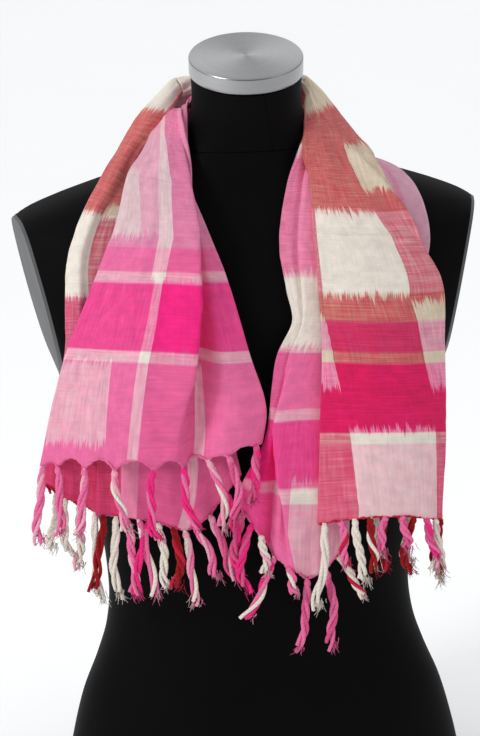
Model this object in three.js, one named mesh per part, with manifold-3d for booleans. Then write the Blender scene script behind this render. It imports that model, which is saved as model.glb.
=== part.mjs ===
// A square cotton scarf with tasselled ends, hung round the neck of a limbless dress form.
// Millimetres, +Z up, the front towards -Y. The form stands on z = 0 with its middle on the Z axis.
// Left and right are as seen from the front.
import * as THREE from 'three';
import { mergeVertices } from 'three/addons/utils/BufferGeometryUtils.js';
import Module from 'manifold-3d';

const wasm = await Module();
wasm.setup();

// Driving dimensions
const WALL = 1.6; // cloth, with the air between its yarns
const SEAM_GAP = 0.3; // between pieces that meet
const REST_GAP = 0.95; // least gap between the form and the cloth
const LYING_GAP = 2.3; // between the form and the ribbon that lies on it all along
const HEM_STRIP = 4; // height of the strip that carries a row of tassels
// A tassel's radius at places down its length: it leaves the hem thin, is thickest at its knot and tapers.
const TASSEL_SIDES = 4;
const TASSEL_FLATNESS = 0.55;
const TASSEL = [
  { place: 0, radius: 1.4 },
  { place: 0.1, radius: 3.9 },
  { place: 0.4, radius: 3.3 },
  { place: 0.7, radius: 3 },
  { place: 1, radius: 2.2 },
];

const FORM_SEGMENTS = 36;
const ARM_PLATE = { x: 208.5, z: 510, lean: 11.7, turn: 7.5, thickness: 3 }; // angles in degrees
const CAP = { radius: 55.2, height: 17, round: 2.5, tilt: 18, x: 2, y: -40, z: 723.85 };
const NECK_AXIS = { x: 2, y: -36 }; // the line that the cloth goes round, behind the neck

// The form: a level section a row, with its half width, front, back, corner exponent, the sideways offset of
// its centre, and how much the section tips up towards the back.
const FORM = [
  { z: 0, half: 204, front: -112, back: 118, corner: 2.3, x: 0, tip: 0 },
  { z: 45, half: 195, front: -111, back: 116, corner: 2.3, x: 0, tip: 0 },
  { z: 90, half: 183, front: -107, back: 109, corner: 2.3, x: 0, tip: 0 },
  { z: 130, half: 167, front: -102, back: 99, corner: 2.3, x: 0, tip: 0 },
  { z: 165, half: 156, front: -98, back: 90, corner: 2.3, x: 0, tip: 0 },
  { z: 205, half: 152, front: -96, back: 86, corner: 2.3, x: 0, tip: 0 },
  { z: 270, half: 158, front: -97, back: 89, corner: 2.4, x: 0, tip: 0 },
  { z: 340, half: 173, front: -102, back: 98, corner: 2.5, x: 0, tip: 0 },
  { z: 400, half: 188, front: -107, back: 107, corner: 2.7, x: 0, tip: 0 },
  { z: 435, half: 195, front: -109, back: 111, corner: 2.9, x: 0, tip: 0 },
  { z: 470, half: 214, front: -109, back: 113, corner: 3, x: 0, tip: 0 },
  { z: 510, half: 232, front: -105, back: 112, corner: 3, x: 0, tip: 0 },
  { z: 550, half: 240, front: -97, back: 106, corner: 3, x: 0, tip: 0 },
  { z: 574, half: 238, front: -90, back: 99, corner: 2.9, x: 0, tip: 0 },
  { z: 590, half: 219, front: -84, back: 91, corner: 2.7, x: 0, tip: 0 },
  { z: 603, half: 190, front: -79, back: 82, corner: 2.5, x: 0, tip: 0 },
  { z: 615, half: 156, front: -75, back: 72, corner: 2.4, x: 0, tip: 0 },
  { z: 628, half: 118, front: -72, back: 59, corner: 2.3, x: 1, tip: 0 },
  { z: 641, half: 88, front: -72, back: 46, corner: 2.2, x: 1, tip: 0 },
  { z: 655, half: 69, front: -76, back: 36, corner: 2.1, x: 2, tip: 0.03 },
  { z: 672, half: 58, front: -81, back: 27, corner: 2, x: 2, tip: 0.1 },
  { z: 695, half: 53.5, front: -88, back: 19, corner: 2, x: 2, tip: 0.2 },
  { z: 723.5, half: 53.5, front: -94, back: 14, corner: 2, x: 2, tip: 0.325 },
];

// The folded scarf goes round the neck as three ribbons, from the left hem to the right hem. A row is a
// section across a ribbon, and its points are [x, y, z].

// Pink ribbon: a broad part from the outer edge to a crest, then a trough and a narrow part to the inner
// edge. crown, trough and ridge are how far those parts bow out or in, and sag how far the first hangs down.
const PINK_LEFT = [
  { outer: [-213, -122, 364], crest: [-84, -144, 358], inner: [-2, -134, 378], crown: 9, trough: 7, ridge: 8 },
  { outer: [-199, -123, 422], crest: [-78, -147, 418], inner: [2, -132, 415], crown: 6, trough: 17, ridge: 6 },
  { outer: [-181, -119, 478], crest: [-72, -144, 474], inner: [-12, -127, 468], crown: 5, trough: 19, ridge: 3 },
  { outer: [-153, -109, 540], crest: [-67, -127, 538], inner: [-29, -117, 535], crown: 4, trough: 12, ridge: -1 },
  { outer: [-130, -96, 592], crest: [-62, -107, 587], inner: [-46, -99, 584], crown: 4, trough: 6, ridge: -1 },
  { outer: [-116, -65, 633], crest: [-58, -87, 624], inner: [-58, -78, 622], crown: 4, trough: 4, ridge: 0 },
  { outer: [-101, -44, 650], crest: [-58, -72, 647], inner: [-58, -62, 646], crown: 7, trough: 3, ridge: 0 },
  { outer: [-80, -9, 661], crest: [-61, -54, 673], inner: [-57, -45, 675], crown: 5, trough: 3, ridge: 0 },
  { outer: [-64, 10, 672], crest: [-60, -22, 688], inner: [-53, -12, 695], crown: 3, trough: 2, ridge: 0 },
];
const PINK_RIGHT = [
  { outer: [71, 12, 667], crest: [65, -12, 677], inner: [59, -8, 684], crown: 3, trough: 2, ridge: 0 },
  { outer: [82, -5, 662], crest: [70, -38, 663], inner: [64, -42, 668], crown: 4, trough: 2, ridge: 0 },
  { outer: [88, -18, 655], crest: [62, -63, 652], inner: [51, -73, 652], crown: 6, trough: 2, ridge: 0 },
  { outer: [88, -79, 611], crest: [52, -84, 614], inner: [35, -82, 614], crown: 2, trough: 3, ridge: 0 },
  { outer: [90, -101, 561], crest: [45, -105, 564], inner: [25, -102, 564], crown: 1, trough: 3, ridge: 1 },
  { outer: [90, -111, 517], crest: [46, -115, 520], inner: [30, -113, 520], crown: 1, trough: 3, ridge: 1 },
  { outer: [88, -117, 489], crest: [44, -121, 492], inner: [34, -120, 493], crown: 1, trough: 2, ridge: 0 },
  { outer: [86, -121, 457], crest: [30, -128, 461], inner: [18, -127, 462], crown: 1, trough: 2, ridge: 0 },
  { outer: [85, -125, 409], crest: [18, -133, 413], inner: [9, -129, 414], crown: 1, trough: 2, ridge: 0 },
  { outer: [84, -127, 373], crest: [15, -137, 378], inner: [2, -128, 378], crown: 1, trough: 6, ridge: 0 },
  { outer: [82, -127, 325], crest: [15, -138, 324], inner: [-22, -126, 333], crown: 1, trough: 12, ridge: 3, sag: 10 },
  { outer: [78, -127, 270], crest: [8, -135, 262], inner: [-23, -127, 312], crown: 2, trough: 10, ridge: 2, sag: 27 },
];

// Red ribbon, left: a flat inner part, then a roll from a bend over a swell to its side and back under.
const RED_LEFT = [
  { inner: [-160, -117, 311], bend: [-183, -114, 322], side: [-212, -108, 338], swell: 3, turned: [6, 8, -8] },
  { inner: [-144, -117, 409], bend: [-178, -113, 413], side: [-198, -106, 414], swell: 4, turned: [14, 9, -5] },
  { inner: [-133, -112, 472], bend: [-163, -109, 472], side: [-184, -100, 472], swell: 6, turned: [16, 12, -7] },
  { inner: [-132, -101, 517], bend: [-159, -101, 517], side: [-182, -96, 518], swell: 7, turned: [15, 13, -8] },
  { inner: [-125, -91, 554], bend: [-157, -92, 555], side: [-178, -88, 556], swell: 8, turned: [13, 13, -8] },
  { inner: [-117, -77, 590], bend: [-144, -80, 593], side: [-162, -76, 597], swell: 8, turned: [9, 4, -3] },
  { inner: [-107, -56, 619], bend: [-121, -56, 623], side: [-140, -48, 631], swell: 8, turned: [10, 13, -6] },
  { inner: [-104, -28, 642], bend: [-108, -28, 646], side: [-123, -12, 650], swell: 8, turned: [8, 18, -17] },
  { inner: [-76, -10, 674], bend: [-79, -8, 678], side: [-102, 6, 679], swell: 8, turned: [1, 20, -33] },
  { inner: [-66, 6, 688], bend: [-65, 8, 692], side: [-79, 18, 700], swell: 7, turned: [-3, 22, -35] },
  { inner: [-59, 22, 694], bend: [-57, 21, 699], side: [-63, 30, 711], swell: 6, turned: [-8, 22, -36] },
];
// Red ribbon, right: a broad crowned part, turned under along its outer side.
const RED_RIGHT = [
  { inner: [61, 18, 695], side: [67, 31, 706], crown: 6, rise: 5, turned: [8, 22, -34] },
  { inner: [59, -28, 687], side: [88, 17, 685], crown: 8, rise: 3, turned: [8, 20, -26] },
  { inner: [57, -57, 669], side: [103, 2, 664], crown: 10, rise: 2, turned: [8, 16, -20] },
  { inner: [54, -77, 653], side: [118, -28, 641], crown: 12, rise: 2, turned: [5, 2, -2] },
  { inner: [57, -91, 620], side: [134, -74, 612], crown: 12, rise: 0, turned: [-4, -1, -2] },
  { inner: [57, -111, 574], side: [155, -99, 566], crown: 9, rise: 0, turned: [-8, 2, -2] },
  { inner: [59, -124, 529], side: [178, -101, 521], crown: 13, rise: 1, turned: [-12, 6, -3] },
  { inner: [60, -136, 473], side: [178, -110, 461], crown: 15, rise: 1, turned: [-14, 7, -4] },
  { inner: [56, -140, 395], side: [177, -117, 384], crown: 15, rise: 3, turned: [-14, 7, -4] },
  { inner: [50, -141, 296], side: [171, -121, 288], crown: 13, rise: 8, turned: [-15, 8, -2] },
];

// Pale ribbon, the lowest layer: a plain crowned strip. Its sag is given for each third.
const PALE_LEFT = [
  { outer: [-162, -123, 312], inner: [-23, -124, 344], crown: 6, sag: [17, 38] },
  { outer: [-154, -122, 406], inner: [-35, -122, 402], crown: 5, sag: [0, 0] },
  { outer: [-140, -117, 473], inner: [-54, -116, 468], crown: 5, sag: [0, 0] },
  { outer: [-120, -103, 536], inner: [-65, -106, 535], crown: 3, sag: [0, 0] },
  { outer: [-106, -84, 586], inner: [-67, -88, 585], crown: 1, sag: [0, 0] },
  { outer: [-95, -44, 632], inner: [-64, -61, 640], crown: 1, sag: [0, 0] },
  { outer: [-84, -4, 646], inner: [-62, -32, 658], crown: 0, sag: [0, 0] },
  { outer: [-76, 38, 638], inner: [-60, 4, 660], crown: 0, sag: [0, 0] },
];
const PALE_RIGHT = [
  { outer: [82, 38, 636], inner: [66, 4, 656], crown: 0, sag: [0, 0] },
  { outer: [106, 20, 632], inner: [84, -20, 645], crown: 0, sag: [0, 0] },
  { outer: [137, 3, 624], inner: [100, -30, 636], crown: 0, sag: [0, 0] },
  { outer: [157, -38, 612], inner: [115, -58, 617], crown: 0, sag: [0, 0] },
  { outer: [169, -77, 582], inner: [123, -84, 584], crown: 0, sag: [0, 0] },
  { outer: [169, -88, 552], inner: [126, -95, 551], crown: 0, sag: [0, 0] },
  { outer: [151, -98, 495], inner: [116, -106, 497], crown: 2, sag: [0, 0] },
  { outer: [153, -106, 406], inner: [106, -116, 413], crown: 3, sag: [0, 0] },
  { outer: [153, -108, 300], inner: [97, -120, 306], crown: 3, sag: [0, 0] },
];

// Behind the neck each ribbon is gathered: a row is a line along it, at a distance from the neck's axis and a
// height, and dips in the middle. The turns are where the lines are fixed, in degrees round the axis from +X.
const BACK_TURNS = [122, 90, 58];
const PINK_BACK = [
  { line: 'outer', radius: 80, z: 664, dip: 4 },
  { line: 'middle', radius: 71, z: 674, dip: 3 },
  { line: 'crest', radius: 67, z: 682, dip: 2 },
  { line: 'trough', radius: 62, z: 690, dip: 0 },
  { line: 'ridge', radius: 62, z: 697, dip: 0 },
  { line: 'inner', radius: 55, z: 703, dip: 0 },
];
const RED_BACK = [
  { line: 'inner', radius: 71, z: 699, dip: 0 },
  { line: 'bend', radius: 70, z: 706, dip: 0 },
  { line: 'swell', radius: 77, z: 713, dip: 0 },
  { line: 'side', radius: 88, z: 706, dip: 2 },
  { line: 'behind', radius: 92, z: 684, dip: 6 },
  { line: 'turned', radius: 110, z: 658, dip: 20 },
];
const PALE_BACK = [
  { line: 'outer', radius: 116, z: 618, dip: 9 },
  { line: 'outer third', radius: 97, z: 636, dip: 5 },
  { line: 'inner third', radius: 80, z: 652, dip: 2 },
  { line: 'inner', radius: 67, z: 663, dip: 0 },
];

// Tassels: at is the place along the hem (0 at the ribbon's first line), drift how far the tip hangs to the
// right of the root, bow how far the middle does beyond that, and length the drop.
const LEFT_FRONT_TASSELS = [
  { at: 0.01, drift: -9, bow: -2, length: 78 },
  { at: 0.08, drift: -3, bow: 3, length: 68 },
  { at: 0.22, drift: -11, bow: 3, length: 66 },
  { at: 0.37, drift: 11, bow: -3, length: 62 },
  { at: 0.55, drift: 2, bow: -6, length: 68 },
  { at: 0.7, drift: 9, bow: -3, length: 62 },
  { at: 0.81, drift: 11, bow: 8, length: 72 },
  { at: 0.88, drift: 3, bow: 6, length: 66 },
  { at: 0.98, drift: -10, bow: 3, length: 58 },
];
const LEFT_ROLL_TASSELS = [
  { at: 0.04, drift: 3, bow: -3, length: 96 },
  { at: 0.2, drift: -6, bow: 3, length: 66 },
  { at: 0.36, drift: 4, bow: -5, length: 60 },
  { at: 0.5, drift: -10, bow: 2, length: 58 },
];
const LEFT_MIDDLE_TASSELS = [
  { at: 0.04, drift: -16, bow: 3, length: 76 },
  { at: 0.13, drift: -2, bow: -2, length: 84 },
  { at: 0.2, drift: 3, bow: 4, length: 78 },
  { at: 0.29, drift: 12, bow: 2, length: 84 },
  { at: 0.36, drift: -17, bow: -2, length: 80 },
  { at: 0.42, drift: 5, bow: 2, length: 68 },
  { at: 0.52, drift: -1, bow: 6, length: 62 },
  { at: 0.6, drift: 4, bow: 4, length: 80 },
  { at: 0.67, drift: 18, bow: 5, length: 54 },
  { at: 0.78, drift: 24, bow: 0, length: 70 },
  { at: 0.9, drift: 6, bow: 4, length: 62 },
];
const RIGHT_FRONT_TASSELS = [
  { at: 0.03, drift: -11, bow: 3, length: 86 },
  { at: 0.12, drift: 1, bow: 3, length: 46 },
  { at: 0.2, drift: 8, bow: -1, length: 66 },
  { at: 0.28, drift: 1, bow: 1, length: 54 },
  { at: 0.36, drift: -6, bow: -3, length: 36 },
  { at: 0.44, drift: 3, bow: 2, length: 32 },
  { at: 0.52, drift: -7, bow: -7, length: 56 },
  { at: 0.585, drift: 8, bow: 0, length: 42 },
  { at: 0.65, drift: -4, bow: 3, length: 54 },
  { at: 0.73, drift: -4, bow: -5, length: 56 },
  { at: 0.8, drift: 0, bow: 2, length: 66 },
];
const RIGHT_INNER_TASSELS = [
  { at: 0.1, drift: 22, bow: 3, length: 42 },
  { at: 0.22, drift: 1, bow: 5, length: 80 },
  { at: 0.4, drift: -14, bow: 4, length: 72 },
  { at: 0.56, drift: 4, bow: 2, length: 26 },
  { at: 0.68, drift: -30, bow: 2, length: 58 },
  { at: 0.84, drift: 2, bow: 2, length: 38 },
  { at: 0.91, drift: -8, bow: -8, length: 66 },
  { at: 0.98, drift: -9, bow: -5, length: 62 },
];
const RIGHT_BACK_TASSELS = [
  { at: 0.15, drift: -3, bow: -6, length: 62 },
  { at: 0.4, drift: 5, bow: 3, length: 58 },
  { at: 0.62, drift: -4, bow: -3, length: 66 },
  { at: 0.88, drift: 6, bow: 3, length: 54 },
];

const COLOURS = {
  jersey: { color: '#141416', roughness: 0.82, metalness: 0 },
  plate: { color: '#77777c', roughness: 0.6, metalness: 0 },
  aluminium: { color: '#b4b4b6', roughness: 0.32, metalness: 1 },
  pink: { color: '#e878ad', roughness: 0.9, metalness: 0 },
  red: { color: '#d9345f', roughness: 0.9, metalness: 0 },
  pale: { color: '#e9b3cd', roughness: 0.9, metalness: 0 },
};

// Cubic through values at uneven knots, with each knot's slope taken from its two neighbours.
function splineAt(values, knots, t, blend) {
  const last = knots.length - 1;
  let i = 0;
  while (i < last - 1 && t > knots[i + 1]) i += 1;
  const step = knots[i + 1] - knots[i];
  const s = THREE.MathUtils.clamp((t - knots[i]) / step, 0, 1);
  const before = Math.max(i - 1, 0);
  const after = Math.min(i + 2, last);
  const slopeHere = step / (knots[i + 1] - knots[before]);
  const slopeNext = step / (knots[after] - knots[i]);
  const start = 2 * s ** 3 - 3 * s ** 2 + 1;
  const leave = s ** 3 - 2 * s ** 2 + s;
  const arrive = s ** 3 - s ** 2;
  return blend([
    [values[before], -leave * slopeHere],
    [values[i], start - arrive * slopeNext],
    [values[i + 1], 1 - start + leave * slopeHere],
    [values[after], arrive * slopeNext],
  ]);
}

const blendNumbers = (parts) => parts.reduce((sum, [value, weight]) => sum + value * weight, 0);
const blendPoints = (parts) =>
  parts.reduce((sum, [point, weight]) => sum.addScaledVector(point, weight), new THREE.Vector3());

// The form's section at a height, each column of the table read through its rows.
const FORM_HEIGHTS = FORM.map((row) => row.z);
const FORM_TOP = FORM_HEIGHTS[FORM_HEIGHTS.length - 1];
function formSection(z) {
  const height = THREE.MathUtils.clamp(z, 0, FORM_TOP);
  const column = (name) => splineAt(FORM.map((row) => row[name]), FORM_HEIGHTS, height, blendNumbers);
  const front = column('front');
  const back = column('back');
  return {
    half: column('half'),
    depth: (back - front) / 2,
    x: column('x'),
    y: (front + back) / 2,
    corner: column('corner'),
    tip: column('tip'),
  };
}

// Below zero inside the form and above zero outside: the superellipse of the section through the point.
function formLevel(point) {
  const level = formSection(point.z);
  const height = point.z - level.tip * (point.y - level.y);
  const section = formSection(height);
  const across = Math.abs(point.x - section.x) / section.half;
  const along = Math.abs(point.y - section.y) / section.depth;
  return (across ** section.corner + along ** section.corner) ** (1 / section.corner) - 1;
}

// The point moved along the form's steepest direction until it is at least lift away from the form. pull,
// from 0 to 1, also draws in a point that is further away.
function clearOfForm(point, lift, pull) {
  const step = 0.5;
  const far = 0.4;
  const moved = point.clone();
  for (let turn = 0; turn < 4; turn += 1) {
    const level = formLevel(moved);
    if (level > far) return moved;
    const slope = new THREE.Vector3();
    for (const axis of ['x', 'y', 'z']) {
      const probe = moved.clone();
      probe[axis] += step;
      slope[axis] = (formLevel(probe) - level) / step;
    }
    const steepness = slope.length();
    const short = lift - level / steepness;
    const move = short > 0 ? short : short * pull;
    moved.addScaledVector(slope, move / steepness);
  }
  return moved;
}

const vector = ([x, y, z]) => new THREE.Vector3(x, y, z);
const between = (a, b, t) => vector(a).lerp(vector(b), t);
const shifted = (point, x, y, z) => point.clone().add(new THREE.Vector3(x, y, z));

// Sections of the ribbons: the rows of the tables become equal numbers of points.
function foldedSection(row) {
  const { outer, crest, inner, crown, trough, ridge, sag = 0 } = row;
  return [
    vector(outer),
    shifted(between(outer, crest, 0.5), 0, -crown, -sag),
    vector(crest),
    shifted(between(crest, inner, 0.2), 0, trough, 0),
    shifted(between(crest, inner, 0.55), 0, -ridge, 0),
    vector(inner),
  ];
}

function rolledSection({ inner, bend, side, swell, turned }) {
  return [
    vector(inner),
    vector(bend),
    shifted(between(bend, side, 0.5), 0, -swell, swell / 3),
    vector(side),
    vector(side).addScaledVector(vector(turned), 0.45).add(new THREE.Vector3(Math.sign(-turned[0]) * 2, 1, 0)),
    vector(side).add(vector(turned)),
  ];
}

function crownedSection({ inner, side, crown, rise, turned }) {
  return [
    vector(inner),
    shifted(between(inner, side, 0.34), 0, -crown, rise),
    shifted(between(inner, side, 0.68), 0, -crown, rise),
    vector(side),
    vector(side).addScaledVector(vector(turned), 0.45).add(new THREE.Vector3(1, 1, 0)),
    vector(side).add(vector(turned)),
  ];
}

function plainSection({ outer, inner, crown, sag }) {
  return [
    vector(outer),
    shifted(between(outer, inner, 1 / 3), 0, -crown, -sag[0]),
    shifted(between(outer, inner, 2 / 3), 0, -crown, -sag[1]),
    vector(inner),
  ];
}

function backSections(lines) {
  return BACK_TURNS.map((turn) => {
    const angle = THREE.MathUtils.degToRad(turn);
    const middle = turn === BACK_TURNS[1] ? 1 : 0;
    return lines.map(({ radius, z, dip }) => new THREE.Vector3(
      NECK_AXIS.x + radius * Math.cos(angle), NECK_AXIS.y + radius * Math.sin(angle), z - middle * dip));
  });
}

// A ribbon is a surface of two parameters, u across it and v along it, splined through its sections. The
// knots are the mean distances between the points.
function ribbon(left, back, right) {
  const sections = [...left, ...back, ...right];
  const knotsOf = (count, distance) => {
    const knots = [0];
    for (let i = 1; i < count; i += 1) knots.push(knots[i - 1] + distance(i));
    return knots.map((knot) => knot / knots[count - 1]);
  };
  const mean = (values) => values.reduce((sum, value) => sum + value, 0) / values.length;
  const lines = sections[0].length;
  const acrossKnots = knotsOf(lines, (i) => mean(sections.map((row) => row[i].distanceTo(row[i - 1]))));
  const alongKnots = knotsOf(sections.length, (i) =>
    mean(sections[i].map((point, line) => point.distanceTo(sections[i - 1][line]))));
  const length = sections.slice(1).reduce(
    (sum, row, i) => sum + mean(row.map((point, line) => point.distanceTo(sections[i][line]))), 0);
  const at = (u, v) => splineAt(sections.map((row) => splineAt(row, acrossKnots, u, blendPoints)),
    alongKnots, v, blendPoints);
  return { at, length, joints: [alongKnots[left.length - 1], alongKnots[left.length + back.length]] };
}

// A closed wall of thickness WALL about a grid of { point, normal }, rows along v and columns along u.
function wallMesh(grid) {
  const rows = grid.length;
  const columns = grid[0].length;
  const positions = [];
  for (const side of [0.5, -0.5]) {
    for (const { point, normal } of grid.flat()) {
      positions.push(...point.clone().addScaledVector(normal, side * WALL).toArray());
    }
  }
  const faces = [];
  const back = rows * columns;
  const quad = (a, b, c, d) => faces.push(a, b, c, a, c, d);
  for (let j = 0; j + 1 < rows; j += 1) {
    for (let i = 0; i + 1 < columns; i += 1) {
      const a = j * columns + i;
      quad(a, a + 1, a + columns + 1, a + columns);
      quad(back + a, back + a + columns, back + a + columns + 1, back + a + 1);
    }
  }
  for (let i = 0; i + 1 < columns; i += 1) {
    const end = (rows - 1) * columns + i;
    quad(i, back + i, back + i + 1, i + 1);
    quad(end, end + 1, back + end + 1, back + end);
  }
  for (let j = 0; j + 1 < rows; j += 1) {
    const first = j * columns;
    const last = first + columns - 1;
    quad(first, first + columns, back + first + columns, back + first);
    quad(last, back + last, back + last + columns, last + columns);
  }
  return facingOut(geometryFrom(positions, faces));
}

function geometryFrom(positions, faces) {
  const geometry = new THREE.BufferGeometry();
  geometry.setAttribute('position', new THREE.Float32BufferAttribute(positions, 3));
  geometry.setIndex(faces);
  return geometry;
}

// The same closed geometry with its faces outwards, told from the sign of its volume.
function facingOut(geometry) {
  const { array } = geometry.attributes.position;
  const index = geometry.index.array;
  const corner = (i) => new THREE.Vector3().fromArray(array, 3 * i);
  let volume = 0;
  for (let i = 0; i < index.length; i += 3) {
    volume += corner(index[i]).dot(corner(index[i + 1]).cross(corner(index[i + 2])));
  }
  if (volume < 0) {
    for (let i = 0; i < index.length; i += 3) {
      [index[i], index[i + 1]] = [index[i + 1], index[i]];
    }
  }
  return geometry;
}

// A stretch of a ribbon as a wall: v runs over span, and the points keep clear of the form. Where the ribbon
// lies on the form, above the chest, its points are also drawn in to it.
function clothStretch(cloth, span, columns, rows, lies) {
  const place = (u, v) => {
    const point = cloth.at(u, v);
    const drawn = lies ? THREE.MathUtils.smoothstep(point.z, 500, 560) : 0;
    return clearOfForm(point, WALL / 2 + (lies ? LYING_GAP : REST_GAP), drawn);
  };
  const nudge = 1e-3;
  const grid = [];
  for (let j = 0; j <= rows; j += 1) {
    const v = THREE.MathUtils.lerp(span[0], span[1], j / rows);
    const row = [];
    for (let i = 0; i <= columns; i += 1) {
      const u = i / columns;
      const alongU = place(Math.min(u + nudge, 1), v).sub(place(Math.max(u - nudge, 0), v));
      const alongV = place(u, Math.min(v + nudge, 1)).sub(place(u, Math.max(v - nudge, 0)));
      row.push({ point: place(u, v), normal: alongU.cross(alongV).normalize() });
    }
    grid.push(row);
  }
  return wallMesh(grid);
}

// A tassel: a tapered strand of a few sides that hangs from root.
function tasselGeometry(root, { drift, bow, length }, forwards) {
  const positions = [];
  const faces = [];
  const sides = TASSEL_SIDES;
  const steps = TASSEL.length - 1;
  for (const { place, radius } of TASSEL) {
    const x = root.x + drift * place + 4 * bow * place * (1 - place);
    const y = root.y - forwards * Math.sin(place * Math.PI * 0.5);
    const z = root.z - length * place;
    for (let i = 0; i < sides; i += 1) {
      const angle = (2 * Math.PI * (i + 0.5)) / sides;
      positions.push(x + radius * Math.cos(angle), y + TASSEL_FLATNESS * radius * Math.sin(angle), z);
    }
  }
  for (let j = 0; j < steps; j += 1) {
    for (let i = 0; i < sides; i += 1) {
      const a = j * sides + i;
      const b = j * sides + ((i + 1) % sides);
      faces.push(a, b, b + sides, a, b + sides, a + sides);
    }
  }
  const last = steps * sides;
  for (let i = 1; i + 1 < sides; i += 1) {
    faces.push(0, i + 1, i, last, last + i, last + i + 1);
  }
  return facingOut(geometryFrom(positions, faces));
}

// Between three's geometries and the solids that are joined and cut
function solidOf(geometry) {
  const bare = geometry.clone();
  bare.deleteAttribute('normal');
  bare.deleteAttribute('uv');
  const merged = mergeVertices(bare, 1e-4);
  return new wasm.Manifold(new wasm.Mesh({
    numProp: 3,
    vertProperties: new Float32Array(merged.attributes.position.array),
    triVerts: new Uint32Array(merged.index.array),
  }));
}

function geometryOf(solid) {
  const mesh = solid.getMesh();
  return geometryFrom(Array.from(mesh.vertProperties), Array.from(mesh.triVerts));
}

// The row of tassels on its strip. hem is the ribbon's end (0 or 1).
function tasselRow(cloth, hem, columns, tassels, forwards) {
  const inwards = hem === 0 ? 1 : -1;
  const strip = HEM_STRIP / cloth.length;
  const rootLine = hem + inwards * strip * 0.2;
  const span = [hem, hem + inwards * strip];
  let solid = solidOf(clothStretch(cloth, span, columns, 1, false));
  for (const tassel of tassels) {
    const column = Math.min(Math.floor(tassel.at * columns), columns - 1);
    const root = cloth.at(column / columns, rootLine);
    root.lerp(cloth.at((column + 1) / columns, rootLine), tassel.at * columns - column);
    solid = solid.add(solidOf(tasselGeometry(root, tassel, forwards)));
  }
  return geometryOf(solid);
}

// The form as rings of its sections, with flat ends.
function formBody(heights) {
  const positions = [];
  const faces = [];
  for (const z of heights) {
    const section = formSection(z);
    for (let i = 0; i < FORM_SEGMENTS; i += 1) {
      const angle = (2 * Math.PI * i) / FORM_SEGMENTS;
      const power = 2 / section.corner;
      const x = section.half * Math.sign(Math.cos(angle)) * Math.abs(Math.cos(angle)) ** power;
      const y = section.depth * Math.sign(Math.sin(angle)) * Math.abs(Math.sin(angle)) ** power;
      positions.push(section.x + x, section.y + y, z + section.tip * y);
    }
  }
  for (let j = 0; j + 1 < heights.length; j += 1) {
    for (let i = 0; i < FORM_SEGMENTS; i += 1) {
      const a = j * FORM_SEGMENTS + i;
      const b = j * FORM_SEGMENTS + ((i + 1) % FORM_SEGMENTS);
      faces.push(a, b, b + FORM_SEGMENTS, a, b + FORM_SEGMENTS, a + FORM_SEGMENTS);
    }
  }
  const last = (heights.length - 1) * FORM_SEGMENTS;
  for (let i = 1; i + 1 < FORM_SEGMENTS; i += 1) {
    faces.push(0, i + 1, i, last, last + i, last + i + 1);
  }
  return solidOf(facingOut(geometryFrom(positions, faces)));
}

// A slab whose inner face lies on the arm plane, side -1 or 1, moved out by offset.
function armSlab(side, offset, thickness) {
  const size = 400;
  const slab = new THREE.BoxGeometry(thickness, size, size);
  slab.translate(offset + thickness / 2, 0, 0);
  slab.rotateY(THREE.MathUtils.degToRad(ARM_PLATE.lean));
  slab.rotateZ(-THREE.MathUtils.degToRad(ARM_PLATE.turn));
  slab.translate(ARM_PLATE.x, 0, ARM_PLATE.z);
  if (side < 0) {
    slab.scale(-1, 1, 1);
    return solidOf(facingOut(slab));
  }
  return solidOf(slab);
}

function capGeometry() {
  const { radius, height, round } = CAP;
  const profile = [new THREE.Vector2(0, 0), new THREE.Vector2(radius - 1, 0), new THREE.Vector2(radius, 1)];
  const steps = 3;
  for (let i = 0; i <= steps; i += 1) {
    const angle = (Math.PI / 2) * (i / steps);
    profile.push(new THREE.Vector2(
      radius - round + round * Math.cos(angle), height - round + round * Math.sin(angle)));
  }
  profile.push(new THREE.Vector2(0, height));
  const cap = new THREE.LatheGeometry(profile, FORM_SEGMENTS);
  cap.rotateX(Math.PI / 2);
  cap.rotateX(THREE.MathUtils.degToRad(CAP.tilt));
  cap.translate(CAP.x, CAP.y, CAP.z);
  return geometryOf(solidOf(facingOut(mergeVertices(bareOf(cap), 1e-4))));
}

function bareOf(geometry) {
  geometry.deleteAttribute('normal');
  geometry.deleteAttribute('uv');
  return geometry;
}

function piece(name, geometry, colour) {
  const mesh = new THREE.Mesh(geometry, new THREE.MeshStandardMaterial(COLOURS[colour]));
  mesh.name = name;
  geometry.computeVertexNormals();
  return mesh;
}

// Each ribbon as a left, a neck and a right stretch, with a row of tassels at either hem
function ribbonPieces(cloth, plan) {
  const strip = (HEM_STRIP + 2 * SEAM_GAP) / cloth.length;
  const gap = SEAM_GAP / cloth.length;
  const [leftJoint, rightJoint] = cloth.joints;
  const { columns, lies, colour } = plan;
  const stretch = (name, from, to, rows) =>
    piece(name, clothStretch(cloth, [from, to], columns, rows, lies), colour);
  const tassels = (name, hem, { forwards, row }) =>
    piece(`${name}_tassels`, tasselRow(cloth, hem, columns, row, forwards), colour);
  return [
    stretch(plan.left.name, strip, leftJoint - gap, plan.left.rows),
    stretch(plan.neck.name, leftJoint + gap, rightJoint - gap, plan.neck.rows),
    stretch(plan.right.name, rightJoint + gap, 1 - strip, plan.right.rows),
    tassels(plan.left.name, 0, plan.left.tassels),
    tassels(plan.right.name, 1, plan.right.tassels),
  ];
}

const pinkCloth = ribbon(
  PINK_LEFT.map(foldedSection), backSections(PINK_BACK), PINK_RIGHT.map(foldedSection));
const redCloth = ribbon(
  RED_LEFT.map(rolledSection), backSections(RED_BACK), RED_RIGHT.map(crownedSection));
const paleCloth = ribbon(
  PALE_LEFT.map(plainSection), backSections(PALE_BACK), PALE_RIGHT.map(plainSection));

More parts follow.
